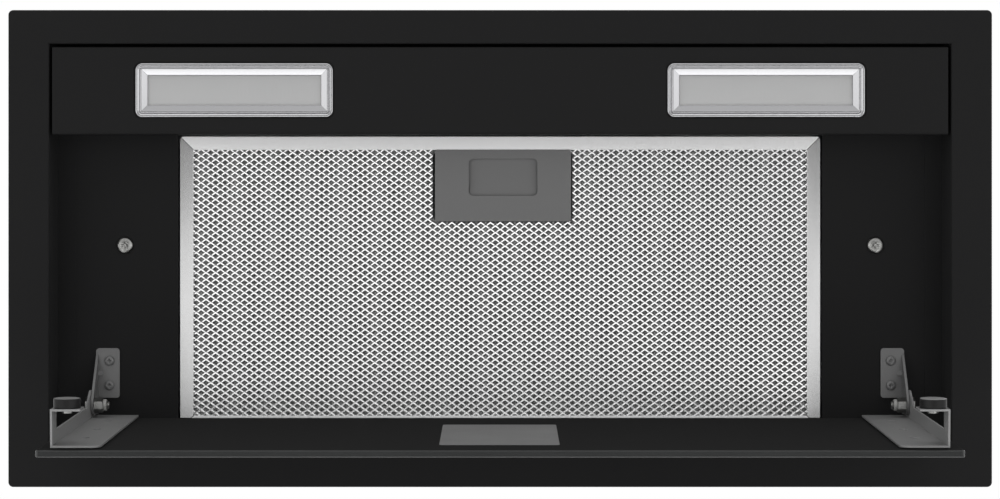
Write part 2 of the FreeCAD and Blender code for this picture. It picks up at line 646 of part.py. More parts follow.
def lamp_bezel(side):
    """Stepped bezel with a sloping trough down to the lens."""
    centre = lamp_centre(side)
    low = TRAY_Z - LAMP_PROUD
    behind = TRAY_Z + TRAY_T
    high = lamp_top() + LENS_GAP
    body = slab(LAMP_W, LAMP_D, (low, high), LAMP_R, centre)
    flange = slab(LAMP_W + 2 * (LAMP_GAP + LAMP_FLANGE_W), LAMP_D + 2 * (LAMP_GAP + LAMP_FLANGE_W),
                  (behind, behind + LAMP_FLANGE_T), 0, centre)
    mouth = slab(LAMP_W - 2 * TROUGH_RIM, LAMP_D - 2 * TROUGH_RIM, (low, high), 0, centre)
    inside = 2 * (TROUGH_RIM + TROUGH_SLOPE)
    throat = slab(LAMP_W - inside, LAMP_D - inside, (low + TROUGH_DEPTH, high), 0, centre)
    bottom = [f for f in mouth.Faces if abs(f.CenterOfMass.z - low) < TINY][0]
    top = [f for f in throat.Faces if abs(f.CenterOfMass.z - low - TROUGH_DEPTH) < TINY][0]
    trough = Part.makeLoft([bottom.OuterWire, top.OuterWire], True, True)
    seat = slab(LAMP_W - inside + 2 * LENS_LAP, LAMP_D - inside + 2 * LENS_LAP,
                (low + TROUGH_DEPTH, high), 0, centre)
    groove = ring(LAMP_W - 2 * GROOVE_IN, LAMP_D - 2 * GROOVE_IN, GROOVE_W, (low, low + GROOVE_DEPTH),
                  LAMP_R - GROOVE_IN, LAMP_R - GROOVE_IN - GROOVE_W, centre)
    return body.fuse(flange).cut([trough, seat, groove]).removeSplitter()


def lamp_lens(side):
    """Frosted lens in the seat of the bezel."""
    inside = 2 * (TROUGH_RIM + TROUGH_SLOPE - LENS_LAP) + FLAT_GAP
    return slab(LAMP_W - inside, LAMP_D - inside, (lamp_top() - LENS_T, lamp_top()), 0, lamp_centre(side))


def lamp_board(side):
    """Light board over the lens, clipped to the top of the bezel."""
    inside = 2 * BOARD_INSET
    top = lamp_top() + LENS_GAP
    return slab(LAMP_W - inside, LAMP_D - inside, (top, top + BOARD_T), 0, lamp_centre(side))


def led_driver():
    """Driver of the lights, on the pan over the strip."""
    y = (TRAY_FRONT + TRAY_REAR) / 2
    body = slab(DRIVER_W, DRIVER_D, (PAN_TOP, PAN_TOP + DRIVER_H), 0, (0, y))
    ears = slab(DRIVER_W + 2 * DRIVER_EAR, DRIVER_EAR_D, (PAN_TOP, PAN_TOP + DRIVER_EAR_T), 0, (0, y))
    return body.fuse(ears).removeSplitter()


# --- grease filter --------------------------------------------------------------------------------------------
def filter_middle():
    return (0, (FILTER_FRONT + FILTER_REAR) / 2)


def latch_footprint(grow, radius):
    """Plan of the latch plate, grown on every side, through the whole filter."""
    return slab(LATCH_W + 2 * grow, LATCH_D + 2 * grow, (FILTER_Z - LATCH_PROUD, FILTER_Z + FILTER_T), radius,
                (LATCH_X, LATCH_FRONT + LATCH_D / 2))


def filter_frame():
    """Channel round the mesh, open inwards, with the slot of the latch bolt in its front."""
    z = (FILTER_Z, FILTER_Z + FILTER_T)
    centre = filter_middle()
    frame = slab(FILTER_W, FILTER_D, z, FILTER_R, centre)
    void = slab(FILTER_W - 2 * FILTER_SHEET, FILTER_D - 2 * FILTER_SHEET,
                (z[0] + FILTER_SHEET, z[1] - FILTER_SHEET), 0, centre)
    window = slab(FILTER_W - 2 * FILTER_LIP, FILTER_D - 2 * FILTER_LIP, z, 0, centre)
    low = bolt_z() - FLAT_GAP
    slot = block((LATCH_X - BOLT_W / 2 - FLAT_GAP, LATCH_X + BOLT_W / 2 + FLAT_GAP),
                 (FILTER_FRONT - CLEAR, FILTER_FRONT + FILTER_LIP), (low, low + BOLT_T + 2 * FLAT_GAP))
    return frame.cut([void, window, slot])


def mesh_size():
    """Width and depth of the mesh inside the channel."""
    inside = 2 * (FILTER_SHEET + FLAT_GAP)
    return (FILTER_W - inside, FILTER_D - inside)


def mesh_cut():
    """Room that the latch and its bolt need in the mesh."""
    reach = BOLT_W / 2 + MESH_GAP
    bolt = block((LATCH_X - reach, LATCH_X + reach), (FILTER_FRONT, LATCH_FRONT + MESH_GAP),
                 (FILTER_Z, FILTER_Z + FILTER_T))
    return latch_footprint(FLAT_GAP, 0).fuse(bolt)


def mesh_front():
    """Lower mesh sheet, on the inner face of the channel's lower lip."""
    width, depth = mesh_size()
    low = FILTER_Z + FILTER_SHEET
    return slab(width, depth, (low, low + MESH_T), 0, filter_middle()).cut(mesh_cut())


def mesh_back():
    """Upper mesh sheet, under the channel's upper lip."""
    width, depth = mesh_size()
    high = FILTER_Z + FILTER_T - FILTER_SHEET
    return slab(width, depth, (high - MESH_T, high), 0, filter_middle()).cut(mesh_cut())


def mesh_core():
    """Pleated layer between the two outer sheets."""
    width, depth = mesh_size()
    low = FILTER_Z + FILTER_SHEET + MESH_T
    high = FILTER_Z + FILTER_T - FILTER_SHEET - MESH_T - PLEAT_SHEET
    count = int(width // PLEAT_PITCH)
    xs = [-count * PLEAT_PITCH / 2 + k * PLEAT_PITCH / 2 for k in range(2 * count + 1)]
    lower = [(x, high if k % 2 else low) for k, x in enumerate(xs)]
    upper = [(x, z + PLEAT_SHEET) for x, z in reversed(lower)]
    y = filter_middle()[1]
    return front_prism(lower + upper, (y - depth / 2, y + depth / 2)).cut(mesh_cut())


def slider_z():
    """Lowest face of the latch slider, just over the face of its housing."""
    return FILTER_Z - LATCH_PROUD + LATCH_WALL + FLAT_GAP


def bolt_z():
    """Underside of the latch bolt and of the plate over the pocket."""
    return slider_z() + SLIDER_GRIP_H


def pocket_y():
    """Front and rear of the finger pocket."""
    front = LATCH_FRONT + POCKET_FRONT
    return (front, front + POCKET_D)


def latch_plate():
    """Shallow housing of the latch: a tray with the finger pocket through its face."""
    front, rear = LATCH_FRONT, LATCH_FRONT + LATCH_D
    body = latch_footprint(0, LATCH_R)
    inside = slab(LATCH_W - 2 * LATCH_WALL, LATCH_D - 2 * LATCH_WALL,
                  (FILTER_Z - LATCH_PROUD + LATCH_WALL, FILTER_Z + FILTER_T - LATCH_WALL), 0,
                  (LATCH_X, (front + rear) / 2))
    low, high = pocket_y()
    pocket = slab(POCKET_W, POCKET_D, (FILTER_Z - LATCH_PROUD, FILTER_Z - LATCH_PROUD + LATCH_WALL), POCKET_R,
                  (LATCH_X, (low + high) / 2))
    z = bolt_z() - FLAT_GAP
    slot = block((LATCH_X - BOLT_W / 2 - FLAT_GAP, LATCH_X + BOLT_W / 2 + FLAT_GAP),
                 (front - CLEAR, front + LATCH_WALL), (z, z + BOLT_T + 2 * FLAT_GAP))
    return body.cut([inside, pocket, slot])


def latch_slider():
    """Sprung slider: a sloping grip at the rear of the pocket, its plate over the pocket, and the bolt."""
    low, high = pocket_y()
    z = bolt_z()
    face = slider_z()
    half = POCKET_W / 2
    plate = block((LATCH_X - half - SLIDER_SIDE, LATCH_X + half + SLIDER_SIDE),
                  (low - SLIDER_SIDE, high + SLIDER_TRAVEL), (z, z + BOLT_T))
    grip = side_prism([(high - SLIDER_GRIP_D, z), (high - FLAT_GAP, face), (high + SLIDER_T, face),
                       (high + SLIDER_T, z)], (LATCH_X - half + FLAT_GAP, LATCH_X + half - FLAT_GAP))
    bolt = block((LATCH_X - BOLT_W / 2, LATCH_X + BOLT_W / 2), (FILTER_FRONT - BOLT_REACH, low),
                 (z, z + BOLT_T))
    return plate.fuse([grip, bolt]).removeSplitter()


# --- hinge and glass panel ------------------------------------------------------------------------------------
def pivot(x):
    return V(x, PIVOT_Y, PIVOT_Z)


def hinge_leaf():
    """Left fixed leaf: a small plate on the pan with a tapered ear down to the pivot."""
    outer = -(EAR_X + EAR_T)
    front = PIVOT_Y - LEAF_REAR - LEAF_D
    rear = PIVOT_Y - LEAF_REAR
    plate = slab(LEAF_W, LEAF_D, (PAN_Z - EAR_T, PAN_Z), LEAF_R, (outer + LEAF_W / 2, (front + rear) / 2))
    centre = (PIVOT_Y, PIVOT_Z)
    start = (front + LEAF_R, PAN_Z)
    back = (PIVOT_Y + EAR_R, PAN_Z - EAR_T)
    touch = tangent(start, centre, EAR_R, 1)
    ear = side_prism([start, touch, centre, (back[0], PIVOT_Z), back, (rear, PAN_Z)], (outer, outer + EAR_T))
    round_end = rod(EAR_R, pivot(outer), pivot(outer + EAR_T))
    bend = (outer + EAR_T, PAN_Z - EAR_T)
    middle = (front + rear) / 2
    gusset = front_prism([bend, (bend[0] + GUSSET, bend[1]), (bend[0], bend[1] - GUSSET)],
                         (middle - GUSSET / 2, middle + GUSSET / 2))
    bore = rod(HINGE_BOLT_R + RUN_GAP, pivot(outer), pivot(outer + EAR_T))
    return plate.fuse([ear, round_end, gusset]).cut(bore).removeSplitter()


def hinge_screws():
    """Heads of the four screws that hold the fixed leaves to the pan."""
    return Part.makeCompound([small_head(LEAF_HEAD_R, LEAF_HEAD_H, V(side * x, y, PAN_Z - EAR_T))
                              for side in (-1, 1) for x, y in leaf_screw_places()])


def opened(shape):
    """Turn a piece of the closed panel about the hinge to where it hangs open."""
    turned = shape.copy()
    turned.rotate(pivot(0), X_AXIS, OPEN_DEG)
    return turned


def panel_glass():
    """Flat glass with small round corners and polished edges."""
    z = (PANEL_IN_Z - PANEL_T, PANEL_IN_Z)
    glass = slab(PANEL_W, PANEL_D, z, PANEL_R, (0, PANEL_FAR - PANEL_D / 2))
    rims = [e for e in glass.Edges if e.BoundBox.ZLength < TINY]
    return opened(glass.makeChamfer(PANEL_EDGE, rims))


def bracket_base():
    """Upper face of the bonding pads."""
    return PANEL_IN_Z + PAD_T


def bracket_y(along):
    """Place along the closed panel, counted from its hinge edge."""
    return PANEL_FAR - along


def magnet_middle():
    """Centre of the left magnet on the closed panel, as (x, y)."""
    return (-BRACKET_X + TAB_IN / 2, bracket_y(BRACKET_END - POST_W / 2))


def tab_top():
    """Face of the tab that the magnet stands on."""
    return PAN_Z - MAGNET_AIR - MAGNET_T


def panel_bracket():
    """Left bracket of the panel: leaf, outer flange, hinge ear and the post of the magnet."""
    outer = -BRACKET_X
    base = bracket_base()
    near, far = bracket_y(BRACKET_END), bracket_y(BRACKET_START)
    leaf = slab(BRACKET_W, far - near, (base, base + BRACKET_T), 0, (outer + BRACKET_W / 2, (near + far) / 2))
    corner = [e for e in upright_edges(leaf)
              if e.CenterOfMass.x > outer + BRACKET_W / 2 and e.CenterOfMass.y < (near + far) / 2]
    leaf = leaf.makeFillet(BRACKET_CORNER, corner)
    x = (outer, outer + BRACKET_T)
    rim = block(x, (near, far), (base, base + BRACKET_RIM))
    centre = (PIVOT_Y, PIVOT_Z)
    front = (PIVOT_Y - 2 * BRACKET_EAR_R, base + BRACKET_RIM)
    touch = tangent(front, centre, BRACKET_EAR_R, -1)
    ear = side_prism([front, touch, centre, (far, PIVOT_Z), (far, base), (front[0], base)], x)
    ear = ear.fuse(rod(BRACKET_EAR_R, pivot(x[0]), pivot(x[1])))
    ear = ear.common(block(x, (near, far), (base, PAN_Z)))
    post = block(x, (near, near + POST_W), (base, tab_top()))
    tab = block((outer, outer + TAB_IN), (near, near + POST_W), (tab_top() - BRACKET_T, tab_top()))
    holes = [bar(SMALL_SIDES, BRACKET_HOLE_R, V(outer + BRACKET_HOLE_IN, bracket_y(u), base),
                 Z_AXIS * BRACKET_T) for u in BRACKET_HOLES]
    holes.append(rod(HINGE_BOLT_R, pivot(x[0]), pivot(x[1])))
    return opened(leaf.fuse([rim, ear, post, tab]).cut(holes).removeSplitter())


def bracket_pads():
    """Bonding pads between the glass and the two brackets."""
    near, far = bracket_y(BRACKET_END), bracket_y(BRACKET_START)
    width = BRACKET_W - 2 * BRACKET_T
    pad = slab(width, far - near - 2 * BRACKET_CORNER, (PANEL_IN_Z, bracket_base()), 0,
               (-BRACKET_X + BRACKET_W / 2, (near + far) / 2))
    return Part.makeCompound([opened(pad), mirrored(opened(pad))])


def magnet():
    """Left round magnet on its tab."""
    x, y = magnet_middle()
    puck = rod(MAGNET_R, V(x, y, tab_top()), V(x, y, tab_top() + MAGNET_T))
    return opened(puck)


def magnet_screws():
    """Heads of the screws that hold the magnets on their tabs."""
    x, y = magnet_middle()
    head = opened(small_head(MAGNET_HEAD_R, MAGNET_HEAD_H, V(x, y, tab_top() - BRACKET_T)))
    return Part.makeCompound([head, mirrored(head)])


def hinge_bolt():
    """Left hinge bolt with its lock nut, held in the ear of the bracket."""
    outer = -BRACKET_X
    nut_start = -EAR_X + FLAT_GAP
    nut_end = nut_start + HINGE_NUT_H
    head = hexagon(HINGE_HEAD_R, pivot(outer), X_AXIS * -HINGE_HEAD_H)
    shank = rod(HINGE_BOLT_R, pivot(outer), pivot(nut_end + HINGE_THREAD_END))
    nut = hexagon(HINGE_NUT_R, pivot(nut_start), X_AXIS * HINGE_NUT_H)
    return opened(head.fuse([shank, nut]))


# --- cabinet clamps -------------------------------------------------------------------------------------------
def clamp_screw():
    """Left clamp screw, turned from below."""
    seat = V(-CLAMP_X, CLAMP_Y, PAN_Z)
    head = bar(CLAMP_HEAD_SIDES, CLAMP_HEAD_R, seat, -Z_AXIS * CLAMP_HEAD_H)
    return head.fuse(rod(CLAMP_SCREW_R, seat, V(-CLAMP_X, CLAMP_Y, BOX_H - BODY_T - CLAMP_SCREW_END)))


def clamp_nut():
    """Left square clamp nut, riding on the screw, with the neck that the arm swings on."""
    def at(z):
        return V(-CLAMP_X, CLAMP_Y, z)

    top = CLAMP_ARM_Z + ARM_T + 2 * FLAT_GAP
    middle = (-CLAMP_X, CLAMP_Y)
    base = slab(2 * CLAMP_NUT_R, 2 * CLAMP_NUT_R, (CLAMP_ARM_Z - CLAMP_NUT_H, CLAMP_ARM_Z), 0, middle)
    neck = rod(CLAMP_NECK_R, at(CLAMP_ARM_Z), at(top))
    cap = slab(2 * CLAMP_NUT_R, 2 * CLAMP_NUT_R, (top, top + CLAMP_CAP_H), 0, middle)
    bore = rod(CLAMP_SCREW_R + RUN_GAP, at(CLAMP_ARM_Z - CLAMP_NUT_H), at(top + CLAMP_CAP_H))
    return base.fuse([neck, cap]).cut(bore).removeSplitter()


def clamp_arm():
    """Left dog-leg arm, swung out over the edge of the cabinet cut-out."""
    low = CLAMP_ARM_Z + FLAT_GAP
    leg = -(BODY_W / 2 + ARM_OUT)
    y = (CLAMP_Y - ARM_W / 2, CLAMP_Y + ARM_W / 2)
    foot = low - ARM_DROP
    toe = leg - ARM_T - ARM_FOOT
    outline = [(-CLAMP_X, low), (-CLAMP_X, low + ARM_T), (leg - ARM_T, low + ARM_T),
               (leg - ARM_T, foot + ARM_T), (toe, foot + ARM_T), (toe, foot), (leg, foot), (leg, low)]
    arm = front_prism(outline, y)
    eye = rod(ARM_W / 2, V(-CLAMP_X, CLAMP_Y, low), V(-CLAMP_X, CLAMP_Y, low + ARM_T))
    hole = rod(CLAMP_NECK_R + RUN_GAP, V(-CLAMP_X, CLAMP_Y, low), V(-CLAMP_X, CLAMP_Y, low + ARM_T))
    return arm.fuse(eye).cut(hole).removeSplitter()


# --- electrics ------------------------------------------------------------------------------------------------
def control_box():
    """Open box for the electrics on top of the housing."""
    z = (BOX_H, BOX_H + CONTROL_H)
    centre = (CONTROL_X, CONTROL_Y)
    body = slab(CONTROL_W, CONTROL_D, z, 0, centre)
    inside = slab(CONTROL_W - 2 * CONTROL_T, CONTROL_D - 2 * CONTROL_T, (z[0] + CONTROL_T, z[1]), 0, centre)
    return body.cut([inside, gland_shank()])


def control_lid():
    """Lid of the electrics box with a rim that drops inside its walls."""
    top = BOX_H + CONTROL_H
    centre = (CONTROL_X, CONTROL_Y)
    lid = slab(CONTROL_W, CONTROL_D, (top, top + LID_T), 0, centre)
    inner = 2 * (CONTROL_T + FLAT_GAP)
    rim = ring(CONTROL_W - inner, CONTROL_D - inner, LID_RIM_T, (top - LID_RIM_H, top), 0, 0, centre)
    return lid.fuse(rim).removeSplitter()


def gland_at(y):
    return V(CONTROL_X, y, BOX_H + CONTROL_H / 2)


def gland_shank():
    """Threaded part of the gland through the rear wall of the box."""
    wall = CONTROL_Y + CONTROL_D / 2
    return rod(GLAND_SHANK_R, gland_at(wall - CONTROL_T), gland_at(wall))


def cable_gland():
    """Inlet gland for the mains cable."""
    wall = CONTROL_Y + CONTROL_D / 2
    nut = hexagon(GLAND_NUT_R, gland_at(wall), Y_AXIS * GLAND_NUT_L)
    cap = bar(GLAND_CAP_SIDES, GLAND_CAP_R, gland_at(wall + GLAND_NUT_L), Y_AXIS * (GLAND_L - GLAND_NUT_L))
    bore = rod(GLAND_BORE_R, gland_at(wall - CONTROL_T), gland_at(wall + GLAND_L))
    return gland_shank().fuse([nut, cap]).cut(bore).removeSplitter()


def terminal_block():
    """Screw terminals on the floor of the box."""
    centre = (CONTROL_X, CONTROL_Y + CONTROL_D / 4)
    floor = BOX_H + CONTROL_T
    body = slab(TERMINAL_W, TERMINAL_D, (floor, floor + TERMINAL_H), 0, centre)
    pitch = TERMINAL_W / TERMINAL_WAYS
    well = pitch / 4
    wells = []
    for k in range(TERMINAL_WAYS):
        x = CONTROL_X - TERMINAL_W / 2 + (k + 0.5) * pitch
        wells.append(block((x - well, x + well), (centre[1] - well, centre[1] + well),
                           (floor + TERMINAL_H / 2, floor + TERMINAL_H)))
    return body.cut(wells)


def capacitor():
    """Motor capacitor lying on the floor of the box."""
    z = BOX_H + CONTROL_T + CAP_R / math.cos(math.pi / CAP_SIDES)
    y = CONTROL_Y - CONTROL_D / 4
    return bar(CAP_SIDES, CAP_R, V(CONTROL_X - CAP_L / 2, y, z), X_AXIS * CAP_L)


def all_parts():
    """Every sub-part by name."""
    parts = {
        "trim_frame": trim_frame(),
        "inner_pan": inner_pan(),
        "housing_shell": housing_shell(),
        "tower_shell": tower_shell(),
        "outlet_spigot": outlet_spigot(),
        "spigot_screws": spigot_screws(),
        "flap_pin": flap_pin(),
        "flap_front": flap(-1, FLAP_FRONT_KNUCKLE),
        "flap_rear": flap(1, FLAP_REAR_KNUCKLE),
        "scroll_left": scroll_half(-1),
        "scroll_right": scroll_half(1),
        "impeller": impeller(),
        "motor_shaft": motor_shaft(),
        "fan_motor": fan_motor(),
        "motor_spider": motor_spider(),
        "motor_mounts": motor_mounts(),
        "light_tray": light_tray(),
        "led_driver": led_driver(),
        "hinge_screws": hinge_screws(),
        "filter_frame": filter_frame(),
        "mesh_front": mesh_front(),
        "mesh_core": mesh_core(),
        "mesh_back": mesh_back(),
        "latch_plate": latch_plate(),
        "latch_slider": latch_slider(),
        "panel_glass": panel_glass(),
        "bracket_pads": bracket_pads(),
        "magnet_screws": magnet_screws(),
        "control_box": control_box(),
        "control_lid": control_lid(),
        "cable_gland": cable_gland(),
        "terminal_block": terminal_block(),
        "capacitor": capacitor(),
    }
    for name, side in (("left", -1), ("right", 1)):
        parts["lamp_bezel_" + name] = lamp_bezel(side)
        parts["lamp_lens_" + name] = lamp_lens(side)
        parts["lamp_board_" + name] = lamp_board(side)
    for name, left in (("hinge_leaf", hinge_leaf()), ("panel_bracket", panel_bracket()), ("magnet", magnet()),
                       ("hinge_bolt", hinge_bolt()), ("clamp_screw", clamp_screw()), ("clamp_nut", clamp_nut()),
                       ("clamp_arm", clamp_arm())):
        parts[name + "_left"] = left
        parts[name + "_right"] = mirrored(left)
    return parts


os.makedirs("parts", exist_ok=True)
for part_name, shape in all_parts().items():
    shape.exportStep(os.path.join("parts", part_name + ".step"))
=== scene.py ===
import json
import math

import bmesh
import bpy
from mathutils import Matrix, Vector

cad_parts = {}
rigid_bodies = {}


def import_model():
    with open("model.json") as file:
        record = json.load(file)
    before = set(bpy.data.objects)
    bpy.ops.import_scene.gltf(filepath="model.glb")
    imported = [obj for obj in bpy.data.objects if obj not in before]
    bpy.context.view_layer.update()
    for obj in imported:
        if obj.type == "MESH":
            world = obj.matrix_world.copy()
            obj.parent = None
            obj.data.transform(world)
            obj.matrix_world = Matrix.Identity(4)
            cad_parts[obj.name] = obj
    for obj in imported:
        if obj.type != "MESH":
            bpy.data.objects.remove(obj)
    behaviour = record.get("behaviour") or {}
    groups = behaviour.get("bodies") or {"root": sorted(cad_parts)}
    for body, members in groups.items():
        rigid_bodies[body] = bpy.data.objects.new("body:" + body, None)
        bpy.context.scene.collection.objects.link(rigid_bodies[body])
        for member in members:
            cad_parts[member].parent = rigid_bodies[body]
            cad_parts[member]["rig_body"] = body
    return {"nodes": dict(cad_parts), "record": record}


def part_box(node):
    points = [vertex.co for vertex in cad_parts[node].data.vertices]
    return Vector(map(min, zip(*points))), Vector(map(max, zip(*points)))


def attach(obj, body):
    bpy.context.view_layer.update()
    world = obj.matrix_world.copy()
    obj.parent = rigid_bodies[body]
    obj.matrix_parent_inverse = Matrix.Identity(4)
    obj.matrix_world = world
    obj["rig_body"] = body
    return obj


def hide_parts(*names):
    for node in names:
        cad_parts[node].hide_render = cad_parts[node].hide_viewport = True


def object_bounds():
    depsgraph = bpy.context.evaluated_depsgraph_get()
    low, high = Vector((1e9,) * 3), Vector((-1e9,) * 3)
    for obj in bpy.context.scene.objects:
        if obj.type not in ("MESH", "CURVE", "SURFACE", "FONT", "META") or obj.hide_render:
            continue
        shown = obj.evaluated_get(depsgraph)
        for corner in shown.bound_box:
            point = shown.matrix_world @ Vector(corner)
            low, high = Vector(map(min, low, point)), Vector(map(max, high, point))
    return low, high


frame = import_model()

bl_info = {
    "name": "Range hood insert",
    "version": (1, 0, 0),
    "blender": (4, 5, 0),
    "location": "3D View > Sidebar > Hood",
    "description": "Dresses the packed hood insert with its looks, camera and studio",
    "category": "Add Mesh",
}

MM = 0.001
TINY = 1e-6
X, Y, Z = Vector((1, 0, 0)), Vector((0, 1, 0)), Vector((0, 0, 1))
SIDES = ("left", "right")
CAD_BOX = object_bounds()
SLOT_OF = {part["node"]: part["material_slot"] for part in frame["record"]["subparts"]}
BODY_OF = {name: obj["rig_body"] for name, obj in frame["nodes"].items()}


# --- sizes and colours ------------------------------------------------------------------
def length(name, text, value, low=0.0):
    """Length property, in metres."""
    return bpy.props.FloatProperty(name=name, description=text, default=value, min=low, max=1.0,
                                   precision=5, subtype="DISTANCE", unit="LENGTH")


def angle(name, text, degrees):
    """Angle property, given in degrees."""
    return bpy.props.FloatProperty(name=name, description=text, default=math.radians(degrees),
                                   subtype="ANGLE", unit="ROTATION")


def colour(name, text, value):
    """Linear colour property."""
    return bpy.props.FloatVectorProperty(name=name, description=text, default=value, size=3, min=0.0,
                                         max=1.0, subtype="COLOR")


class HoodSizes(bpy.types.PropertyGroup):
    """Sizes of the dressed pieces."""

    sheet_ease: length("Sheet edge", "Rounding on large sheets", 0.00022)
    plate_ease: length("Plate edge", "Rounding on hinge leaves and brackets", 0.0002)
    folded_ease: length("Folded edge", "Rounding on filter frame, lenses, slider and nuts", 0.0003)
    thick_ease: length("Thick edge", "Rounding on latch plate and clamp arms", 0.0004)
    moulded_ease: length("Moulded edge", "Rounding on the electrics box", 0.0005)
    outlet_ease: length("Outlet edge", "Rounding on the outlet and flaps", 0.0003)
    magnet_ease: length("Magnet edge", "Rounding on the magnets", 0.0006)
    glass_ease: length("Glass edge", "Rounding on the polished edge of the glass", 0.00025)
    diamond_long: length("Diamond length", "Expanded metal, long way of a diamond", 0.006)
    diamond_short: length("Diamond width", "Expanded metal, short way of a diamond", 0.00415)
    strand_w: length("Strand width", "Width of a strand of the expanded metal", 0.0018)
    strand_t: length("Strand thickness", "Thickness of a strand of the expanded metal", 0.0008)
    strand_tilt: angle("Strand tilt", "Lean of the strands out of the sheet", -1)
    strand_wave: length("Strand wave", "How far strands pass over and under each other", 0.0012)
    pleat_pitch: length("Pleat pitch", "From one fold of the middle layer to the next but one", 0.022)
    label_w: length("Label width", "Bare label on the glass, left to right", 0.0685)
    label_d: length("Label depth", "Bare label on the glass, along the panel", 0.1055)
    label_t: length("Label thickness", "Thickness of the bare label", 0.0003)
    label_corner: length("Label corner", "Corner radius of the bare label", 0.002)
    label_x: length("Label offset", "Label left of the middle", -0.0004, -1.0)
    label_z: length("Label height", "Middle of the label", -0.0599, -1.0)
    panel_lean: angle("Panel lean", "How far past upright the open panel hangs", 2.6)


class HoodColours(bpy.types.PropertyGroup):
    """Colours of the finishes, linear."""

    frame_paint: colour("Trim paint", "Satin powder coat of the trim frame", (0.0142, 0.0142, 0.0144))
    # painted light: a lighter copy of the trim coat on the upright walls, against the shade they get in the
    # recess
    wall_painted_light: colour("Wall paint", "Same coat on the upright walls", (0.024, 0.024, 0.0243))
    galvanised: colour("Galvanised sheet", "Zinc of the housing", (0.46, 0.48, 0.49))
    black_plastic: colour("Black plastic", "Outlet, flaps and electrics box", (0.02, 0.02, 0.021))
    grey_plastic: colour("Grey plastic", "Blower housing", (0.2, 0.21, 0.22))
    white_plastic: colour("White plastic", "Terminals, driver and boards", (0.72, 0.72, 0.7))
    zinc: colour("Zinc plate", "Screws, pins and clamps", (0.34, 0.34, 0.33))
    motor: colour("Motor paint", "Can of the motor", (0.15, 0.16, 0.17))
    rubber: colour("Rubber", "Mounts and bonding pads", (0.03, 0.03, 0.03))
    bezel: colour("Bezel silver", "Satin silver of the lamp bezels", (0.4, 0.4, 0.41))
    diffuser: colour("Lamp diffuser", "Frosted lens", (0.42, 0.42, 0.42))
    filter_frame: colour("Filter frame", "Brushed aluminium", (0.62, 0.62, 0.62))
    filter_mesh: colour("Filter mesh", "Bare expanded aluminium", (0.72, 0.72, 0.72))
    # painted shade: the inner layers get a darker copy of the mesh aluminium, standing in for the shade
    # behind the front sheet
    mesh_painted_shade: colour("Inner mesh", "Aluminium in the shade behind the front sheet", (0.42, 0.42, 0.42))
    latch: colour("Latch plastic", "Grey moulded latch", (0.16, 0.16, 0.16))
    glass: colour("Panel glass", "Black behind clear glass", (0.008, 0.008, 0.0085))
    glass_edge: colour("Glass edge", "Polished edge of the glass", (0.021, 0.022, 0.022))
    panel_back: colour("Panel back", "Matt black on the inner face of the glass", (0.026, 0.026, 0.026))
    bracket: colour("Bracket steel", "Satin grey of the panel brackets", (0.24, 0.24, 0.24))
    leaf: colour("Leaf steel", "Darker grey of the fixed leaves", (0.15, 0.15, 0.15))
    magnet: colour("Magnet", "Black case of the magnets", (0.008, 0.008, 0.008))
    label: colour("Bare label", "Plain label foil", (0.19, 0.19, 0.19))
    nylon: colour("Nylon ring", "Locking ring of the nuts", (0.3, 0.3, 0.29))
    floor: colour("Floor", "Pale floor of the studio", (0.82, 0.82, 0.82))


def sizes():
    """Sizes set in the scene."""
    return bpy.context.scene.hood_sizes


def colours():
    """Colours set in the scene."""
    return bpy.context.scene.hood_colours


# --- shared effects as node groups ------------------------------------------------------
WHITE = (1, 1, 1, 1)
BLACK = (0, 0, 0, 1)
SURFACE = (("Colour", "c"), ("Roughness", "f"), ("Height", "f"))


def new_group(name, inputs, outputs):
    """Node group with float, vector or colour sockets; returns (group, its inputs, its outputs)."""
    kinds = {"f": "NodeSocketFloat", "v": "NodeSocketVector", "c": "NodeSocketColor"}
    group = bpy.data.node_groups.new(name, "ShaderNodeTree")
    for label, kind, *start in inputs:
        made = group.interface.new_socket(name=label, in_out="INPUT", socket_type=kinds[kind])
        if start:
            made.default_value = start[0]
    for label, kind in outputs:
        group.interface.new_socket(name=label, in_out="OUTPUT", socket_type=kinds[kind])
    return group, group.nodes.new("NodeGroupInput").outputs, group.nodes.new("NodeGroupOutput").inputs


def node(tree, kind, links=None, **settings):
    """New shader node; links maps an input (name or index) to a socket or a plain value."""
    made = tree.nodes.new(kind)
    for key, value in settings.items():
        setattr(made, key, value)
    for key, value in (links or {}).items():
        if isinstance(value, bpy.types.NodeSocket):
            tree.links.new(value, made.inputs[key])
        else:
            made.inputs[key].default_value = value
    return made


def maths(tree, operation, a, b=0.0):
    """Socket with the result of one sum."""
    return node(tree, "ShaderNodeMath", {0: a, 1: b}, operation=operation).outputs[0]


def noise(tree, where, scale, detail, **more):
    """Noise texture node."""
    return node(tree, "ShaderNodeTexNoise", {"Vector": where, "Scale": scale, "Detail": detail, **more})


def spread(tree, value, low, high, start=0.0, end=1.0):
    """Socket with the range start to end of a value spread over low to high."""
    return node(tree, "ShaderNodeMapRange", {0: value, 1: start, 2: end, 3: low, 4: high}).outputs[0]


def mix_colour(tree, factor, a, b, blend="MIX"):
    """Socket with a mix of two colours."""
    return node(tree, "ShaderNodeMix", {0: factor, 6: a, 7: b}, data_type="RGBA", blend_type=blend).outputs[2]


def lead_out(group, out, *results):
    """Link colour, roughness and height to the outputs of their group."""
    for (label, _), value in zip(SURFACE, results):
        group.links.new(value, out[label])
    return group


def grain_group():
    """Fine even texture of powder coat and moulded plastic."""
    group, into, out = new_group("fine_grain", (
        ("Position", "v"), ("Colour", "c"), ("Scale", "f", 900.0), ("Rough low", "f", 0.4),
        ("Rough high", "f", 0.5), ("Shade", "f", 0.08)), SURFACE)
    fine = noise(group, into["Position"], into["Scale"], 2.0, Roughness=0.6).outputs[0]
    broad = noise(group, into["Position"], 14.0, 3.0).outputs[0]
    rough = spread(group, broad, into["Rough low"], into["Rough high"], 0.3, 0.7)
    shade = maths(group, "MULTIPLY", broad, into["Shade"])
    tint = mix_colour(group, shade, into["Colour"], WHITE, "OVERLAY")
    return lead_out(group, out, tint, rough, fine)


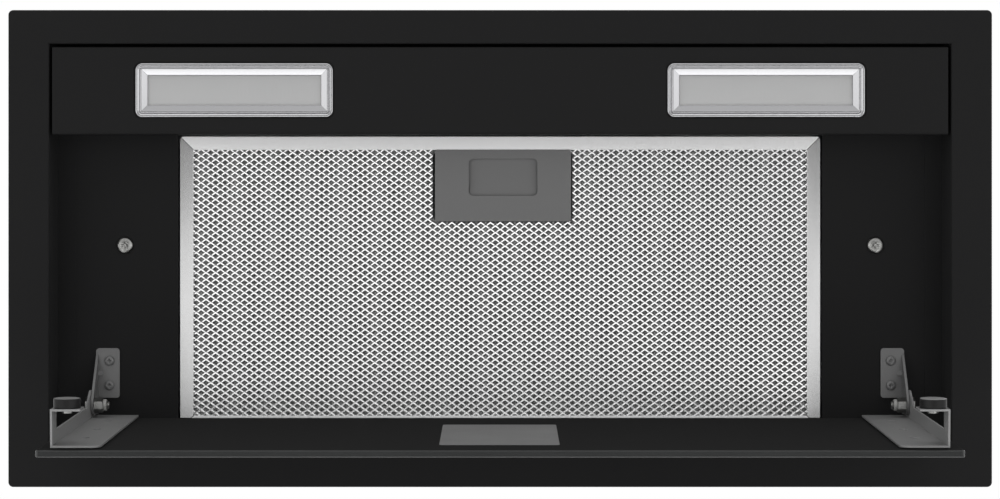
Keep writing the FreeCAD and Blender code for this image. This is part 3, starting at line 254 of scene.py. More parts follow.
def brushed_group():
    """Fine parallel scratches; Stretch squeezes the pattern so that they run along one axis."""
    group, into, out = new_group("brushed_metal", (
        ("Position", "v"), ("Colour", "c"), ("Stretch", "v", (40.0, 1600.0, 1600.0)),
        ("Rough low", "f", 0.22), ("Rough high", "f", 0.42), ("Contrast", "f", 0.16)), SURFACE)
    place = node(group, "ShaderNodeVectorMath", {0: into["Position"], 1: into["Stretch"]},
                 operation="MULTIPLY").outputs[0]
    lines = noise(group, place, 1.0, 3.0, Roughness=0.65).outputs[0]
    broad = noise(group, into["Position"], 9.0, 2.0).outputs[0]
    both = maths(group, "MULTIPLY", lines, broad)
    rough = spread(group, both, into["Rough low"], into["Rough high"], 0.1, 0.4)
    dark = spread(group, lines, into["Contrast"], 0.0, 0.3, 0.7)
    tint = mix_colour(group, dark, into["Colour"], BLACK)
    return lead_out(group, out, tint, rough, lines)


def spangle_group():
    """Crystal flakes of hot-dip zinc."""
    dark_flake = (0.12, 0.13, 0.14, 1)
    group, into, out = new_group("zinc_spangle", (
        ("Position", "v"), ("Colour", "c"), ("Scale", "f", 130.0)), SURFACE)
    warp = noise(group, into["Position"], 60.0, 2.0)
    bend = node(group, "ShaderNodeMix", {0: 0.02, 4: into["Position"], 5: warp.outputs[1]},
                data_type="VECTOR").outputs[1]
    flakes = node(group, "ShaderNodeTexVoronoi", {"Vector": bend, "Scale": into["Scale"]})
    grey = node(group, "ShaderNodeSeparateColor", {0: flakes.outputs["Color"]}).outputs
    tint = mix_colour(group, spread(group, grey[0], 0.0, 0.22), into["Colour"], dark_flake)
    return lead_out(group, out, tint, spread(group, grey[1], 0.34, 0.5), grey[2])


def wear_group():
    """Thin dust and smears that dull a smooth surface."""
    group, into, out = new_group("smears", (
        ("Position", "v"), ("Roughness", "f", 0.1), ("Amount", "f", 0.12)), (("Roughness", "f"),))
    cloud = noise(group, into["Position"], 22.0, 5.0, Roughness=0.6, Distortion=1.2).outputs[0]
    rise = spread(group, cloud, 0.0, into["Amount"], 0.42, 0.75)
    group.links.new(maths(group, "ADD", into["Roughness"], rise), out["Roughness"])
    return group


# --- finishes ---------------------------------------------------------------------------
# slot: (colour, grain scale, lowest and highest roughness, bump, shading, constants of the shader)
GRAINED = {
    "frame_paint": ("frame_paint", 1500.0, 0.5, 0.56, 0.15, 0.03, {"Specular IOR Level": 0.03}),
    # painted light: same coat as the trim, lightened for the upright walls that lie in the recess's shade
    "wall_painted_light": ("wall_painted_light", 1500.0, 0.5, 0.56, 0.15, 0.03, {"Specular IOR Level": 0.03}),
    "black_plastic": ("black_plastic", 1100.0, 0.42, 0.52, 0.35, 0.03, {}),
    "grey_plastic": ("grey_plastic", 1100.0, 0.4, 0.5, 0.3, 0.03, {}),
    "white_plastic": ("white_plastic", 1300.0, 0.35, 0.45, 0.15, 0.03, {}),
    "motor_paint": ("motor", 700.0, 0.28, 0.36, 0.15, 0.03, {}),
    "rubber": ("rubber", 1600.0, 0.75, 0.88, 0.5, 0.03, {}),
    "bezel_silver": ("bezel", 400.0, 0.2, 0.22, 0.0, 0.0, {"Metallic": 1.0}),
    # painted shade: darker, duller copy of the mesh aluminium for the layers behind the front sheet
    "mesh_painted_shade": ("mesh_painted_shade", 700.0, 0.35, 0.45, 0.03, 0.03, {"Metallic": 0.3}),
    "latch_plastic": ("latch", 1300.0, 0.5, 0.56, 0.1, 0.0, {"Specular IOR Level": 0.15}),
    "glass_edge": ("glass_edge", 300.0, 0.16, 0.22, 0.02, 0.03, {}),
    "panel_back": ("panel_back", 1500.0, 0.6, 0.7, 0.1, 0.03, {"Specular IOR Level": 0.0}),
    "bracket_steel": ("bracket", 1400.0, 0.42, 0.5, 0.1, 0.03,
                      {"Metallic": 0.15, "Specular IOR Level": 0.3}),
    "leaf_steel": ("leaf", 1400.0, 0.36, 0.46, 0.1, 0.03, {"Metallic": 0.3, "Specular IOR Level": 0.3}),
    "magnet_black": ("magnet", 1200.0, 0.4, 0.5, 0.1, 0.03, {"Specular IOR Level": 0.2}),
    "label": ("label", 500.0, 0.45, 0.6, 0.05, 0.03, {"Specular IOR Level": 0.1}),
    "nylon": ("nylon", 900.0, 0.35, 0.45, 0.1, 0.03, {}),
}
# slot: (colour, scratch scale, lowest and highest roughness, contrast, bump)
BRUSHED = {
    "zinc_steel": ("zinc", 900.0, 0.24, 0.38, 0.1, 0.06),
    "mesh_aluminium": ("filter_mesh", 700.0, 0.22, 0.3, 0.06, 0.03),
}
GRAIN_DEPTH = 0.06 * MM
SCRATCH_DEPTH = 0.03 * MM
FRAME_SCRATCH_DEPTH = 0.02 * MM
FLAKE_DEPTH = 0.02 * MM


def start_material(name, settings):
    """Material with a Principled shader whose constants are set on its sockets."""
    material = bpy.data.materials.new("hood_" + name)
    material.use_nodes = True
    tree = material.node_tree
    shader = tree.nodes["Principled BSDF"]
    for key, value in settings.items():
        shader.inputs[key].default_value = value
    where = node(tree, "ShaderNodeTexCoord").outputs["Object"]
    return tree, shader, where


def raise_surface(tree, shader, height, strength, depth):
    """Bump a shader's surface by a height."""
    raised = node(tree, "ShaderNodeBump", {"Height": height, "Strength": strength, "Distance": depth})
    tree.links.new(raised.outputs[0], shader.inputs["Normal"])


def use_effect(tree, shader, effect, values, bump, depth):
    """Place a node group and lead its colour, roughness and height to the shader."""
    placed = node(tree, "ShaderNodeGroup", values, node_tree=effect).outputs
    tree.links.new(placed["Colour"], shader.inputs["Base Color"])
    tree.links.new(placed["Roughness"], shader.inputs["Roughness"])
    raise_surface(tree, shader, placed["Height"], bump, depth)


def grained(slot, effect):
    """Powder coat, moulded plastic or satin metal."""
    key, scale, smooth, rough, bump, shade, settings = GRAINED[slot]
    tree, shader, where = start_material(slot, settings)
    use_effect(tree, shader, effect, {
        "Position": where, "Colour": (*getattr(colours(), key), 1.0), "Scale": scale, "Rough low": smooth,
        "Rough high": rough, "Shade": shade}, bump, GRAIN_DEPTH)


def brushed(slot, effect):
    """Metal with fine scratches all ways."""
    key, scale, smooth, rough, contrast, bump = BRUSHED[slot]
    tree, shader, where = start_material(slot, {"Metallic": 1.0})
    use_effect(tree, shader, effect, {
        "Position": where, "Colour": (*getattr(colours(), key), 1.0), "Stretch": (scale, scale, scale),
        "Rough low": smooth, "Rough high": rough, "Contrast": contrast}, bump, SCRATCH_DEPTH)


def galvanised(effect):
    """Hot-dip zinc with its crystal flakes."""
    tree, shader, where = start_material("galvanised", {"Metallic": 1.0})
    use_effect(tree, shader, effect, {"Position": where, "Colour": (*colours().galvanised, 1.0)}, 0.08,
               FLAKE_DEPTH)


def filter_frame_finish(effect):
    """Brushed aluminium whose scratches follow each member, with a thin mitre seam at every corner; the front
    and rear members carry a painted highlight and the side members painted shade.
    """
    low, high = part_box("filter_frame")
    middle, half = (low + high) / 2, (high - low) / 2
    along, across = 28.0, 9000.0
    seam_colour = (0.03, 0.03, 0.03, 1.0)
    seam_start, seam_end = 0.1 * MM, 0.35 * MM
    # front and rear members, then side members: (stretch, painted light tone, roughness); the tone paints a
    # highlight on the front and rear members and shade on the side members
    members = (((along, across, across), 1.7, 0.42), ((across, along, across), 0.98, 0.14))
    tree, shader, where = start_material("filter_aluminium", {"Metallic": 1.0})
    place = node(tree, "ShaderNodeVectorMath", {0: where, 1: middle}, operation="SUBTRACT").outputs[0]
    away = node(tree, "ShaderNodeVectorMath", {0: place}, operation="ABSOLUTE").outputs[0]
    parts = node(tree, "ShaderNodeSeparateXYZ", {0: away}).outputs
    from_end = maths(tree, "SUBTRACT", parts[0], half.x)
    from_side = maths(tree, "SUBTRACT", parts[1], half.y)
    apart = maths(tree, "SUBTRACT", from_end, from_side)
    at_side = maths(tree, "GREATER_THAN", apart, 0.0)
    seam = spread(tree, maths(tree, "ABSOLUTE", apart), 1.0, 0.0, seam_start, seam_end)
    pair = []
    # each member's colour is scaled by its tone: painted highlight on the front and rear members, painted
    # shade on the sides
    for stretch, painted_light_tone, rough in members:
        shade = [channel * painted_light_tone for channel in colours().filter_frame]
        pair.append(node(tree, "ShaderNodeGroup", {
            "Position": where, "Colour": (*shade, 1.0), "Stretch": stretch, "Rough low": rough,
            "Rough high": rough + 0.04, "Contrast": 0.04}, node_tree=effect).outputs)
    body = mix_colour(tree, at_side, pair[0]["Colour"], pair[1]["Colour"])
    tree.links.new(mix_colour(tree, seam, body, seam_colour), shader.inputs["Base Color"])
    mixed = {}
    for label in ("Roughness", "Height"):
        both = {0: at_side, 2: pair[0][label], 3: pair[1][label]}
        mixed[label] = node(tree, "ShaderNodeMix", both, data_type="FLOAT").outputs[0]
    tree.links.new(mixed["Roughness"], shader.inputs["Roughness"])
    sunk = maths(tree, "SUBTRACT", mixed["Height"], seam)
    raise_surface(tree, shader, sunk, 0.15, FRAME_SCRATCH_DEPTH)


def glass_finish(smears):
    """Black painted behind clear glass: a smooth coat over a dark ground, with faint smears."""
    tree, shader, where = start_material("black_glass", {
        "Base Color": (*colours().glass, 1.0), "Coat Weight": 0.35, "Coat Roughness": 0.03, "IOR": 1.5,
        "Specular IOR Level": 0.3})
    dulled = node(tree, "ShaderNodeGroup", {"Position": where, "Roughness": 0.08, "Amount": 0.2},
                  node_tree=smears).outputs["Roughness"]
    tree.links.new(dulled, shader.inputs["Roughness"])
    raise_surface(tree, shader, noise(tree, where, 6.0, 1.0).outputs[0], 0.05, 0.4 * MM)


def diffuser_finish():
    """Frosted lens with fine prisms along it."""
    scatter = 4 * MM
    shaded = (0.25, 0.26, 0.27, 1.0)
    tree, shader, where = start_material("lamp_diffuser", {
        "Roughness": 0.55, "Specular IOR Level": 0.35, "Subsurface Weight": 0.15,
        "Subsurface Radius": (scatter, scatter, scatter)})
    ribs = node(tree, "ShaderNodeTexWave", {"Vector": where, "Scale": 130.0, "Distortion": 0.0},
                bands_direction="X")
    shade = spread(tree, noise(tree, where, 60.0, 3.0).outputs[0], 0.0, 0.12)
    tree.links.new(mix_colour(tree, shade, (*colours().diffuser, 1.0), shaded), shader.inputs["Base Color"])
    raise_surface(tree, shader, ribs.outputs[1], 0.12, 0.1 * MM)


def make_finishes():
    """Make every finish of the hood."""
    grain, lines = grain_group(), brushed_group()
    galvanised(spangle_group())
    for slot in GRAINED:
        grained(slot, grain)
    for slot in BRUSHED:
        brushed(slot, lines)
    filter_frame_finish(lines)
    glass_finish(wear_group())
    diffuser_finish()


def finish_of(slot):
    """The material made for a slot; run the finishes first."""
    made = bpy.data.materials.get("hood_" + slot)
    if made is None:
        raise RuntimeError(f"no finish for {slot}; run the finishes operator first")
    return made


# --- shaping helpers --------------------------------------------------------------------
SHARP_EDGE = math.radians(32)
FLAT = math.radians(0.6)
WELD = 2e-6


def written(bm, name):
    """Mesh from a bmesh, just as it is."""
    mesh = bpy.data.meshes.new(name)
    bm.to_mesh(mesh)
    bm.free()
    return mesh


def to_mesh(bm, name):
    """Mesh from a bmesh, with its normals outwards."""
    bmesh.ops.remove_doubles(bm, verts=bm.verts, dist=TINY)
    bmesh.ops.recalc_face_normals(bm, faces=bm.faces)
    return written(bm, name)


def put_in_scene(name, data):
    """New object with this data, linked to the scene."""
    made = bpy.data.objects.new(name, data)
    bpy.context.scene.collection.objects.link(made)
    return made


def middle_of(name):
    """Middle of a CAD node's box."""
    low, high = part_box(name)
    return (low + high) / 2


def add_piece(name, mesh, body, slot, finish=None, stands_for=(), smooth=True):
    """Link a mesh as a piece of one body, with its finish."""
    mesh.polygons.foreach_set("use_smooth", [smooth] * len(mesh.polygons))
    mesh.materials.clear()
    mesh.materials.append(finish_of(finish or slot))
    piece = put_in_scene(name, mesh)
    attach(piece, body)
    if stands_for:
        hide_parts(*stands_for)
    return piece


def ease_edges(piece, width, segments):
    """Round the sharp edges of a piece."""
    bevel = piece.modifiers.new("edges", "BEVEL")
    bevel.width = width
    bevel.segments = segments
    bevel.limit_method = "ANGLE"
    bevel.angle_limit = SHARP_EDGE
    bevel.use_clamp_overlap = True
    faces = piece.modifiers.new("faces", "WEIGHTED_NORMAL")
    faces.keep_sharp = True
    faces.weight = 100
    return piece


def merged_copy(name):
    """bmesh of a CAD node with its loose triangles joined and its flat faces made whole."""
    bm = bmesh.new()
    bm.from_mesh(frame["nodes"][name].data)
    bmesh.ops.remove_doubles(bm, verts=bm.verts, dist=WELD)
    bmesh.ops.dissolve_limit(bm, angle_limit=FLAT, verts=bm.verts, edges=bm.edges)
    return bm


def dress(name, width, segments=2, finish=None):
    """Stand-in for a CAD node: the same shape with its edges rounded."""
    mesh = written(merged_copy(name), name + "_dressed")
    piece = add_piece(name + "_dressed", mesh, BODY_OF[name], SLOT_OF[name], finish, (name,))
    return ease_edges(piece, width, segments)


def second_finish(piece, finish, chosen):
    """Give the faces that pass a test another finish."""
    mesh = piece.data
    mesh.materials.append(finish_of(finish))
    for face in mesh.polygons:
        if chosen(face):
            face.material_index = len(mesh.materials) - 1
    return piece


def evaluated_mesh(piece, name):
    """Mesh of a piece with its modifiers applied; the piece itself is removed."""
    bpy.context.view_layer.update()
    graph = bpy.context.evaluated_depsgraph_get()
    mesh = bpy.data.meshes.new_from_object(piece.evaluated_get(graph))
    mesh.name = name
    bpy.data.objects.remove(piece)
    return mesh


def loose_object(bm, name):
    """Unattached object from a bmesh, for a modifier to work on."""
    return put_in_scene(name, to_mesh(bm, name))


def carve(solid, cutters, name):
    """Mesh of one bmesh with others taken out of it."""
    target = loose_object(solid, name)
    tools = [loose_object(cutter, f"{name}_cut") for cutter in cutters]
    for tool in tools:
        cut = target.modifiers.new("cut", "BOOLEAN")
        cut.object = tool
        cut.operation = "DIFFERENCE"
        cut.solver = "EXACT"
    mesh = evaluated_mesh(target, name)
    for tool in tools:
        bpy.data.objects.remove(tool)
    return mesh


def turned(profile, steps=32):
    """Closed turned shape about Z from (radius, height) points that start and end on the axis."""
    bm = bmesh.new()
    verts = [bm.verts.new((r, 0, z)) for r, z in profile]
    edges = [bm.edges.new(pair) for pair in zip(verts, verts[1:])]
    bmesh.ops.spin(bm, geom=verts + edges, cent=(0, 0, 0), axis=Z, angle=2 * math.pi, steps=steps,
                   use_merge=True)
    bmesh.ops.remove_doubles(bm, verts=bm.verts, dist=TINY)
    bmesh.ops.recalc_face_normals(bm, faces=bm.faces)
    return bm


def bar(size, centre, turn=0.0):
    """Straight-sided bar."""
    bm = bmesh.new()
    bmesh.ops.create_cube(bm, size=1.0)
    bmesh.ops.scale(bm, vec=size, verts=bm.verts)
    bmesh.ops.rotate(bm, cent=(0, 0, 0), matrix=Matrix.Rotation(turn, 3, "Z"), verts=bm.verts)
    bmesh.ops.translate(bm, vec=centre, verts=bm.verts)
    return bm


def place_mesh(mesh, at, along=Z):
    """Move a mesh made about Z to a point, its +Z turned to a direction."""
    turn = Z.rotation_difference(Vector(along)).to_matrix().to_4x4()
    mesh.transform(Matrix.Translation(at) @ turn)
    mesh.update()
    return mesh


def joined(meshes, name):
    """One mesh from several."""
    bm = bmesh.new()
    for mesh in meshes:
        bm.from_mesh(mesh)
    return written(bm, name)


# --- screws -----------------------------------------------------------------------------
# (radius, height) of a domed head, as shares of its own radius and height
DOME = ((0, 0), (0.94, 0), (1, 0.18), (0.97, 0.5), (0.8, 0.82), (0.45, 0.97), (0, 1))


def cross_head(radius, height, name):
    """Domed head with a cross recess, seat at the origin and crown towards +Z."""
    slot_w, depth, taper = 0.16, 0.62, 0.55
    head = turned([(radius * out, height * up) for out, up in DOME], 40)
    reach = radius * 1.1
    cutters = []
    for turn in (0, math.pi / 2):
        blade = bar((reach, radius * slot_w * 2, height), (0, 0, height * (1.5 - depth)), turn)
        low = [v for v in blade.verts if v.co.z < height]
        bmesh.ops.scale(blade, vec=(taper, taper, 1), space=Matrix.Identity(4), verts=low)
        cutters.append(blade)
    return carve(head, cutters, name)


def hexagon_head(flat_r, height, name, washer=True):
    """Hexagon head with a chamfered top, with or without a thin washer face."""
    corner, chamfer = flat_r / math.cos(math.pi / 6), flat_r * 0.12
    washer_r, washer_h = flat_r * 1.22, height * 0.18
    bm = bmesh.new()
    bmesh.ops.create_cone(bm, cap_ends=True, segments=6, radius1=corner, radius2=corner, depth=height)
    bmesh.ops.translate(bm, vec=(0, 0, height / 2), verts=bm.verts)
    top = [e for e in bm.edges if all(v.co.z > height * 0.9 for v in e.verts)]
    bmesh.ops.bevel(bm, geom=top, offset=chamfer, segments=1, profile=0.5, affect="EDGES", material=-1)
    parts = [to_mesh(bm, name)]
    if washer:
        parts.append(to_mesh(turned([(0, 0), (washer_r, 0), (washer_r, washer_h), (0, washer_h)]), name))
    return joined(parts, name)


def thread(radius, run, pitch):
    """Ridged shank along +Z from the origin."""
    depth = pitch * 0.45
    turns = max(2, int(run / pitch))
    profile = [(0, 0), (radius - depth, 0)]
    for k in range(turns):
        profile.append((radius, run * (k + 0.5) / turns))
        profile.append((radius - depth, run * (k + 1) / turns))
    profile.append((0, run))
    return to_mesh(turned(profile, 16), "thread")


# --- operators: one for each piece or group of like pieces ------------------------------
class HOOD_OT_finishes(bpy.types.Operator):
    """Make every finish and lay it on the CAD nodes"""

    bl_idname = "hood.finishes"
    bl_label = "Finishes"

    def execute(self, context):
        make_finishes()
        for name, obj in frame["nodes"].items():
            obj.data.materials.clear()
            obj.data.materials.append(finish_of(SLOT_OF[name]))
        return {"FINISHED"}


class HOOD_OT_trim(bpy.types.Operator):
    """Trim frame and light strip with rounded sheet edges; the frame's upright walls get a lighter copy of
    its coat as painted light
    """

    bl_idname = "hood.trim"
    bl_label = "Trim frame"

    def execute(self, context):
        dress("light_tray", sizes().sheet_ease)
        trim = dress("trim_frame", sizes().sheet_ease)
        # upright faces take the lightened coat: painted light against the shade in the recess
        second_finish(trim, "wall_painted_light", lambda face: abs(face.normal.z) < 0.5)
        return {"FINISHED"}


def rounded_loop(bm, half_x, half_y, radius, height, steps):
    """Ring of verts round a rectangle with round corners."""
    verts = []
    for quarter, (sx, sy) in enumerate(((1, 1), (-1, 1), (-1, -1), (1, -1))):
        for step in range(steps + 1):
            turn = (quarter + step / steps) * math.pi / 2
            verts.append(bm.verts.new((sx * (half_x - radius) + radius * math.cos(turn),
                                       sy * (half_y - radius) + radius * math.sin(turn), height)))
    return verts


def swept_frame(half_x, half_y, radius, profile):
    """Closed profile of (inset, height) points swept round a rectangle with round corners."""
    smallest, steps = 0.4 * MM, 7
    bm = bmesh.new()
    rings = [rounded_loop(bm, half_x - inset, half_y - inset, max(radius - inset, smallest), height, steps)
             for inset, height in profile]
    for low, high in zip(rings, rings[1:] + rings[:1]):
        for k in range(len(low)):
            after = (k + 1) % len(low)
            bm.faces.new((low[k], low[after], high[after], high[k]))
    return bm


def arc(centre, radius, start, end, steps):
    """Points of an arc in the plane, from one angle to another, in degrees."""
    turns = [math.radians(start + (end - start) * k / steps) for k in range(steps + 1)]
    return [(centre[0] + radius * math.cos(t), centre[1] + radius * math.sin(t)) for t in turns]


class HOOD_OT_lamps(bpy.types.Operator):
    """Lamp bezels with their rounded steps, and frosted lenses"""

    bl_idname = "hood.lamps"
    bl_label = "Lamps"

    def face(self):
        """Front of the bezel from its outer edge to the lens, as (inset, height above its lowest point)."""
        edge_r, bead_r, lip_r = 1.1 * MM, 0.95 * MM, 0.45 * MM
        foot = 7.1 * MM
        edge = arc((1.15 * MM, edge_r), edge_r, 180, 300, 6)
        groove = [(2.2 * MM, 0.75 * MM), (2.6 * MM, 0.85 * MM)]
        bead = arc((3.6 * MM, 1.05 * MM), bead_r, 195, 300, 6)
        slope = [(foot, 1.95 * MM)]
        lip = arc((foot, 2.4 * MM), lip_r, 300, 360, 3)
        return edge + groove + bead + slope + lip

    def outside(self, face, middle, high):
        """Whether a face belongs to the unplated flange behind the strip."""
        away = face.center - middle
        rim = 3.8 * MM
        return abs(away.x) > high.x - middle.x - rim or abs(away.y) > high.y - middle.y - rim

    def bezel(self, side):
        """One bezel, with its flange behind the strip and its seat round the lens."""
        name = "lamp_bezel_" + side
        flange, flange_t, seat, lip, corner = 3.7 * MM, 1.4 * MM, 6.2 * MM, 7.6 * MM, 4.5 * MM
        tray_t, margin = 1.0 * MM, 0.1 * MM
        low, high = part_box(name)
        middle = (low + high) / 2
        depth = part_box("lamp_lens_" + side)[0].z - low.z
        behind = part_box("light_tray")[0].z + tray_t - low.z
        top = high.z - low.z
        rear = [(lip, depth), (seat, depth), (seat, top), (0, top), (0, behind + flange_t),
                (-flange, behind + flange_t), (-flange, behind), (0, behind)]
        half_x, half_y = (high.x - low.x) / 2 - flange, (high.y - low.y) / 2 - flange
        bm = swept_frame(half_x, half_y, corner, self.face() + rear)
        bmesh.ops.translate(bm, vec=(middle.x, middle.y, low.z), verts=bm.verts)
        piece = add_piece(name + "_dressed", to_mesh(bm, name), "root", "bezel_silver", None, (name,))
        piece.data.set_sharp_from_angle(angle=math.radians(42))
        hidden = low.z + behind - margin
        second_finish(piece, "magnet_black",
                      lambda face: face.center.z > hidden and self.outside(face, middle, high))

    def execute(self, context):
        for side in SIDES:
            self.bezel(side)
            dress("lamp_lens_" + side, sizes().folded_ease)
        return {"FINISHED"}


def strand_sheet(room, name):
    """Expanded-metal sheet over a room (x, y), centred on the origin: crossing zigzag strands, merged."""
    long, short = sizes().diamond_long, sizes().diamond_short
    width, thick, wave = sizes().strand_w, sizes().strand_t, sizes().strand_wave
    sides = 6
    bm = bmesh.new()
    lean = Matrix.Rotation(sizes().strand_tilt, 3, "X")
    turns = [2 * math.pi * k / sides for k in range(sides)]
    ring = [bm.verts.new(lean @ Vector((0, math.cos(t) * width / 2, math.sin(t) * thick / 2 - wave / 2)))
            for t in turns]
    edges = [bm.edges.new((ring[k], ring[(k + 1) % sides])) for k in range(sides)]
    for way in (1, -1):
        grown = bmesh.ops.extrude_edge_only(bm, edges=edges)["geom"]
        moved = [g for g in grown if isinstance(g, bmesh.types.BMVert)]
        edges = [g for g in grown if isinstance(g, bmesh.types.BMEdge)]
        bmesh.ops.translate(bm, vec=(long / 2, way * short / 2, way * wave), verts=moved)
    other = bmesh.ops.duplicate(bm, geom=bm.verts[:] + bm.edges[:] + bm.faces[:])["geom"]
    bmesh.ops.translate(bm, vec=(long / 2, short / 2, 0),
                        verts=[g for g in other if isinstance(g, bmesh.types.BMVert)])
    sheet = put_in_scene(name, written(bm, name))
    counts = (math.ceil(room[0] / long) + 1, math.ceil(room[1] / short) + 1)
    for axis, (count, step) in enumerate(zip(counts, (long, short))):
        rows = sheet.modifiers.new("rows", "ARRAY")
        rows.count = count
        rows.use_relative_offset = False
        rows.use_constant_offset = True
        offset = [0.0, 0.0, 0.0]
        offset[axis] = step
        rows.constant_offset_displace = offset
        rows.use_merge_vertices = axis == 0
        rows.merge_threshold = 1e-5
    made = evaluated_mesh(sheet, name)
    made.transform(Matrix.Translation((-counts[0] * long / 2, -counts[1] * short / 2, 0)))
    return made


class HOOD_OT_filter(bpy.types.Operator):
    """Grease filter: folded frame and three layers of expanded metal"""

    bl_idname = "hood.filter"
    bl_label = "Grease filter"

    def layer(self, name, finish, shift, pleated):
        """One layer, cut back to the box of its CAD node."""
        spare_x, spare_y = 1.04, 1.08
        low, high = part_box(name)
        room = ((high.x - low.x) * spare_x, (high.y - low.y) * spare_y)
        bm = bmesh.new()
        bm.from_mesh(strand_sheet(room, name + "_strands"))
        bmesh.ops.translate(bm, vec=(low + high) / 2 + Vector(shift), verts=bm.verts)
        for outwards, corner in ((-X, low), (X, high), (-Y, low), (Y, high)):
            bmesh.ops.bisect_plane(bm, geom=bm.verts[:] + bm.edges[:] + bm.faces[:], plane_co=corner,
                                   plane_no=outwards, clear_outer=True)
        self.clear_latch(bm)
        bmesh.ops.holes_fill(bm, edges=[e for e in bm.edges if e.is_boundary], sides=6)
        if pleated:
            self.pleat(bm, (high.z - low.z) / 2 - sizes().strand_w / 2)
        mesh = written(bm, name + "_strands")
        add_piece(name + "_strands", mesh, "filter", SLOT_OF[name], finish, (name,), False)

    def clear_latch(self, bm):
        """Leave the strands out where the latch stands and in front of its slider."""
        wall, slider_half, ledge = 0.0008, 0.0105, 0.002
        low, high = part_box("latch_plate")
        inside = [v for v in bm.verts if low.x + wall < v.co.x < high.x - wall
                  and low.y + wall < v.co.y < high.y - wall]
        bmesh.ops.delete(bm, geom=inside, context="VERTS")
        slider_low, slider_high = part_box("latch_slider")
        centre = (slider_low.x + slider_high.x) / 2
        front = [v for v in bm.verts if abs(v.co.x - centre) < slider_half and v.co.y < low.y + ledge]
        bmesh.ops.delete(bm, geom=front, context="VERTS")

    def pleat(self, bm, half):
        """Fold a layer up and down by half each way."""
        for v in bm.verts:
            phase = (v.co.x / sizes().pleat_pitch) % 1.0
            v.co.z += half * (4 * abs(phase - 0.5) - 1)

    def execute(self, context):
        dress("filter_frame", sizes().folded_ease)
        aside = (sizes().diamond_long / 2, 0, 0)
        self.layer("mesh_front", None, (0, 0, 0), False)
        # the middle and back layers take the darker mesh finish: painted shade behind the front sheet
        self.layer("mesh_core", "mesh_painted_shade", aside, True)
        self.layer("mesh_back", "mesh_painted_shade", aside, False)
        return {"FINISHED"}


class HOOD_OT_latch(bpy.types.Operator):
    """Latch plate and its slider"""

    bl_idname = "hood.latch"
    bl_label = "Filter latch"

    def execute(self, context):
        dress("latch_plate", sizes().thick_ease)
        dress("latch_slider", sizes().folded_ease)
        return {"FINISHED"}


class HOOD_OT_clamps(bpy.types.Operator):
    """Clamp screws with domed cross-recess heads, nuts and arms"""

    bl_idname = "hood.clamps"
    bl_label = "Cabinet clamps"

    def screw(self, name):
        """One long screw, seated under the pan."""
        shank_r, pitch = 0.003, 0.001
        low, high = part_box(name)
        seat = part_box("inner_pan")[0].z
        centre = middle_of(name)
        at = (centre.x, centre.y, seat)
        head = place_mesh(cross_head((high.x - low.x) / 2, seat - low.z, "clamp_head"), at, -Z)
        shank = place_mesh(thread(shank_r, high.z - seat, pitch), at)
        add_piece(name + "_dressed", joined([head, shank], name), "root", "zinc_steel", None, (name,))

    def execute(self, context):
        for side in SIDES:
            self.screw("clamp_screw_" + side)
            dress("clamp_nut_" + side, sizes().folded_ease)
            dress("clamp_arm_" + side, sizes().thick_ease)
        return {"FINISHED"}


class HOOD_OT_hinges(bpy.types.Operator):
    """Fixed leaves with their screws, and the pivot bolts with lock nuts"""

    bl_idname = "hood.hinges"
    bl_label = "Hinges"

    def execute(self, context):
        for side in SIDES:
            dress("hinge_leaf_" + side, sizes().plate_ease, finish="leaf_steel")
            self.bolt(side)
        self.screws()
        return {"FINISHED"}

    def bolt(self, side):
        """Hexagon bolt through bracket and leaf, with its lock nut and the nylon ring of that nut."""
        head_r, head_h, plates = 0.0043, 0.0026, 0.0031
        shank_r, pitch = 0.0025, 0.0008
        nut_r, nut_h = 0.004, 0.0075
        nut_top, ring_top = nut_h * 0.72, nut_h * 0.28
        bore, ring_r, crown_r = 0.0026, 0.0036, 0.0032
        name = "hinge_bolt_" + side
        low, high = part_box(name)
        centre = middle_of(name)
        outer, inwards = (low.x, X) if side == "left" else (high.x, -X)
        seat = Vector((outer, centre.y, centre.z)) + inwards * head_h
        head = place_mesh(hexagon_head(head_r, head_h, name), seat, -inwards)
        shank = place_mesh(thread(shank_r, high.x - low.x - head_h - TINY, pitch), seat, inwards)
        nut = place_mesh(hexagon_head(nut_r, nut_top, name, False), seat + inwards * plates, inwards)
        add_piece(name + "_dressed", joined([head, shank, nut], name), "panel", "zinc_steel", None, (name,),
                  False)
        ring = to_mesh(turned([(bore, 0), (ring_r, 0), (ring_r, nut_h * 0.2), (crown_r, ring_top),
                               (bore, ring_top), (bore, 0)]), name + "_collar")
        place_mesh(ring, seat + inwards * (plates + nut_top), inwards)
        add_piece(name + "_collar", ring, "panel", "white_plastic", "nylon")

    def screws(self):
        """Heads of the screws that hold the leaves."""
        heads = []
        for centre, low, high in islands("hinge_screws"):
            head = cross_head((high.x - low.x) / 2, high.z - low.z, "leaf_head")
            heads.append(place_mesh(head, (centre.x, centre.y, high.z), -Z))
        add_piece("hinge_screws_dressed", joined(heads, "hinge_screws"), "root", "zinc_steel",
                  "leaf_steel", ("hinge_screws",))


def islands(name):
    """(centre, lowest corner, highest corner) of each separate solid of a CAD node."""
    bm = merged_copy(name)
    left = set(bm.verts)
    found = []
    while left:
        grown, edge = set(), [left.pop()]
        while edge:
            v = edge.pop()
            grown.add(v)
            for e in v.link_edges:
                w = e.other_vert(v)
                if w in left:
                    left.discard(w)
                    edge.append(w)
        low = Vector([min(v.co[k] for v in grown) for k in range(3)])
        high = Vector([max(v.co[k] for v in grown) for k in range(3)])
        found.append(((low + high) / 2, low, high))
    bm.free()
    return sorted(found, key=lambda item: tuple(round(c, 5) for c in item[0]))


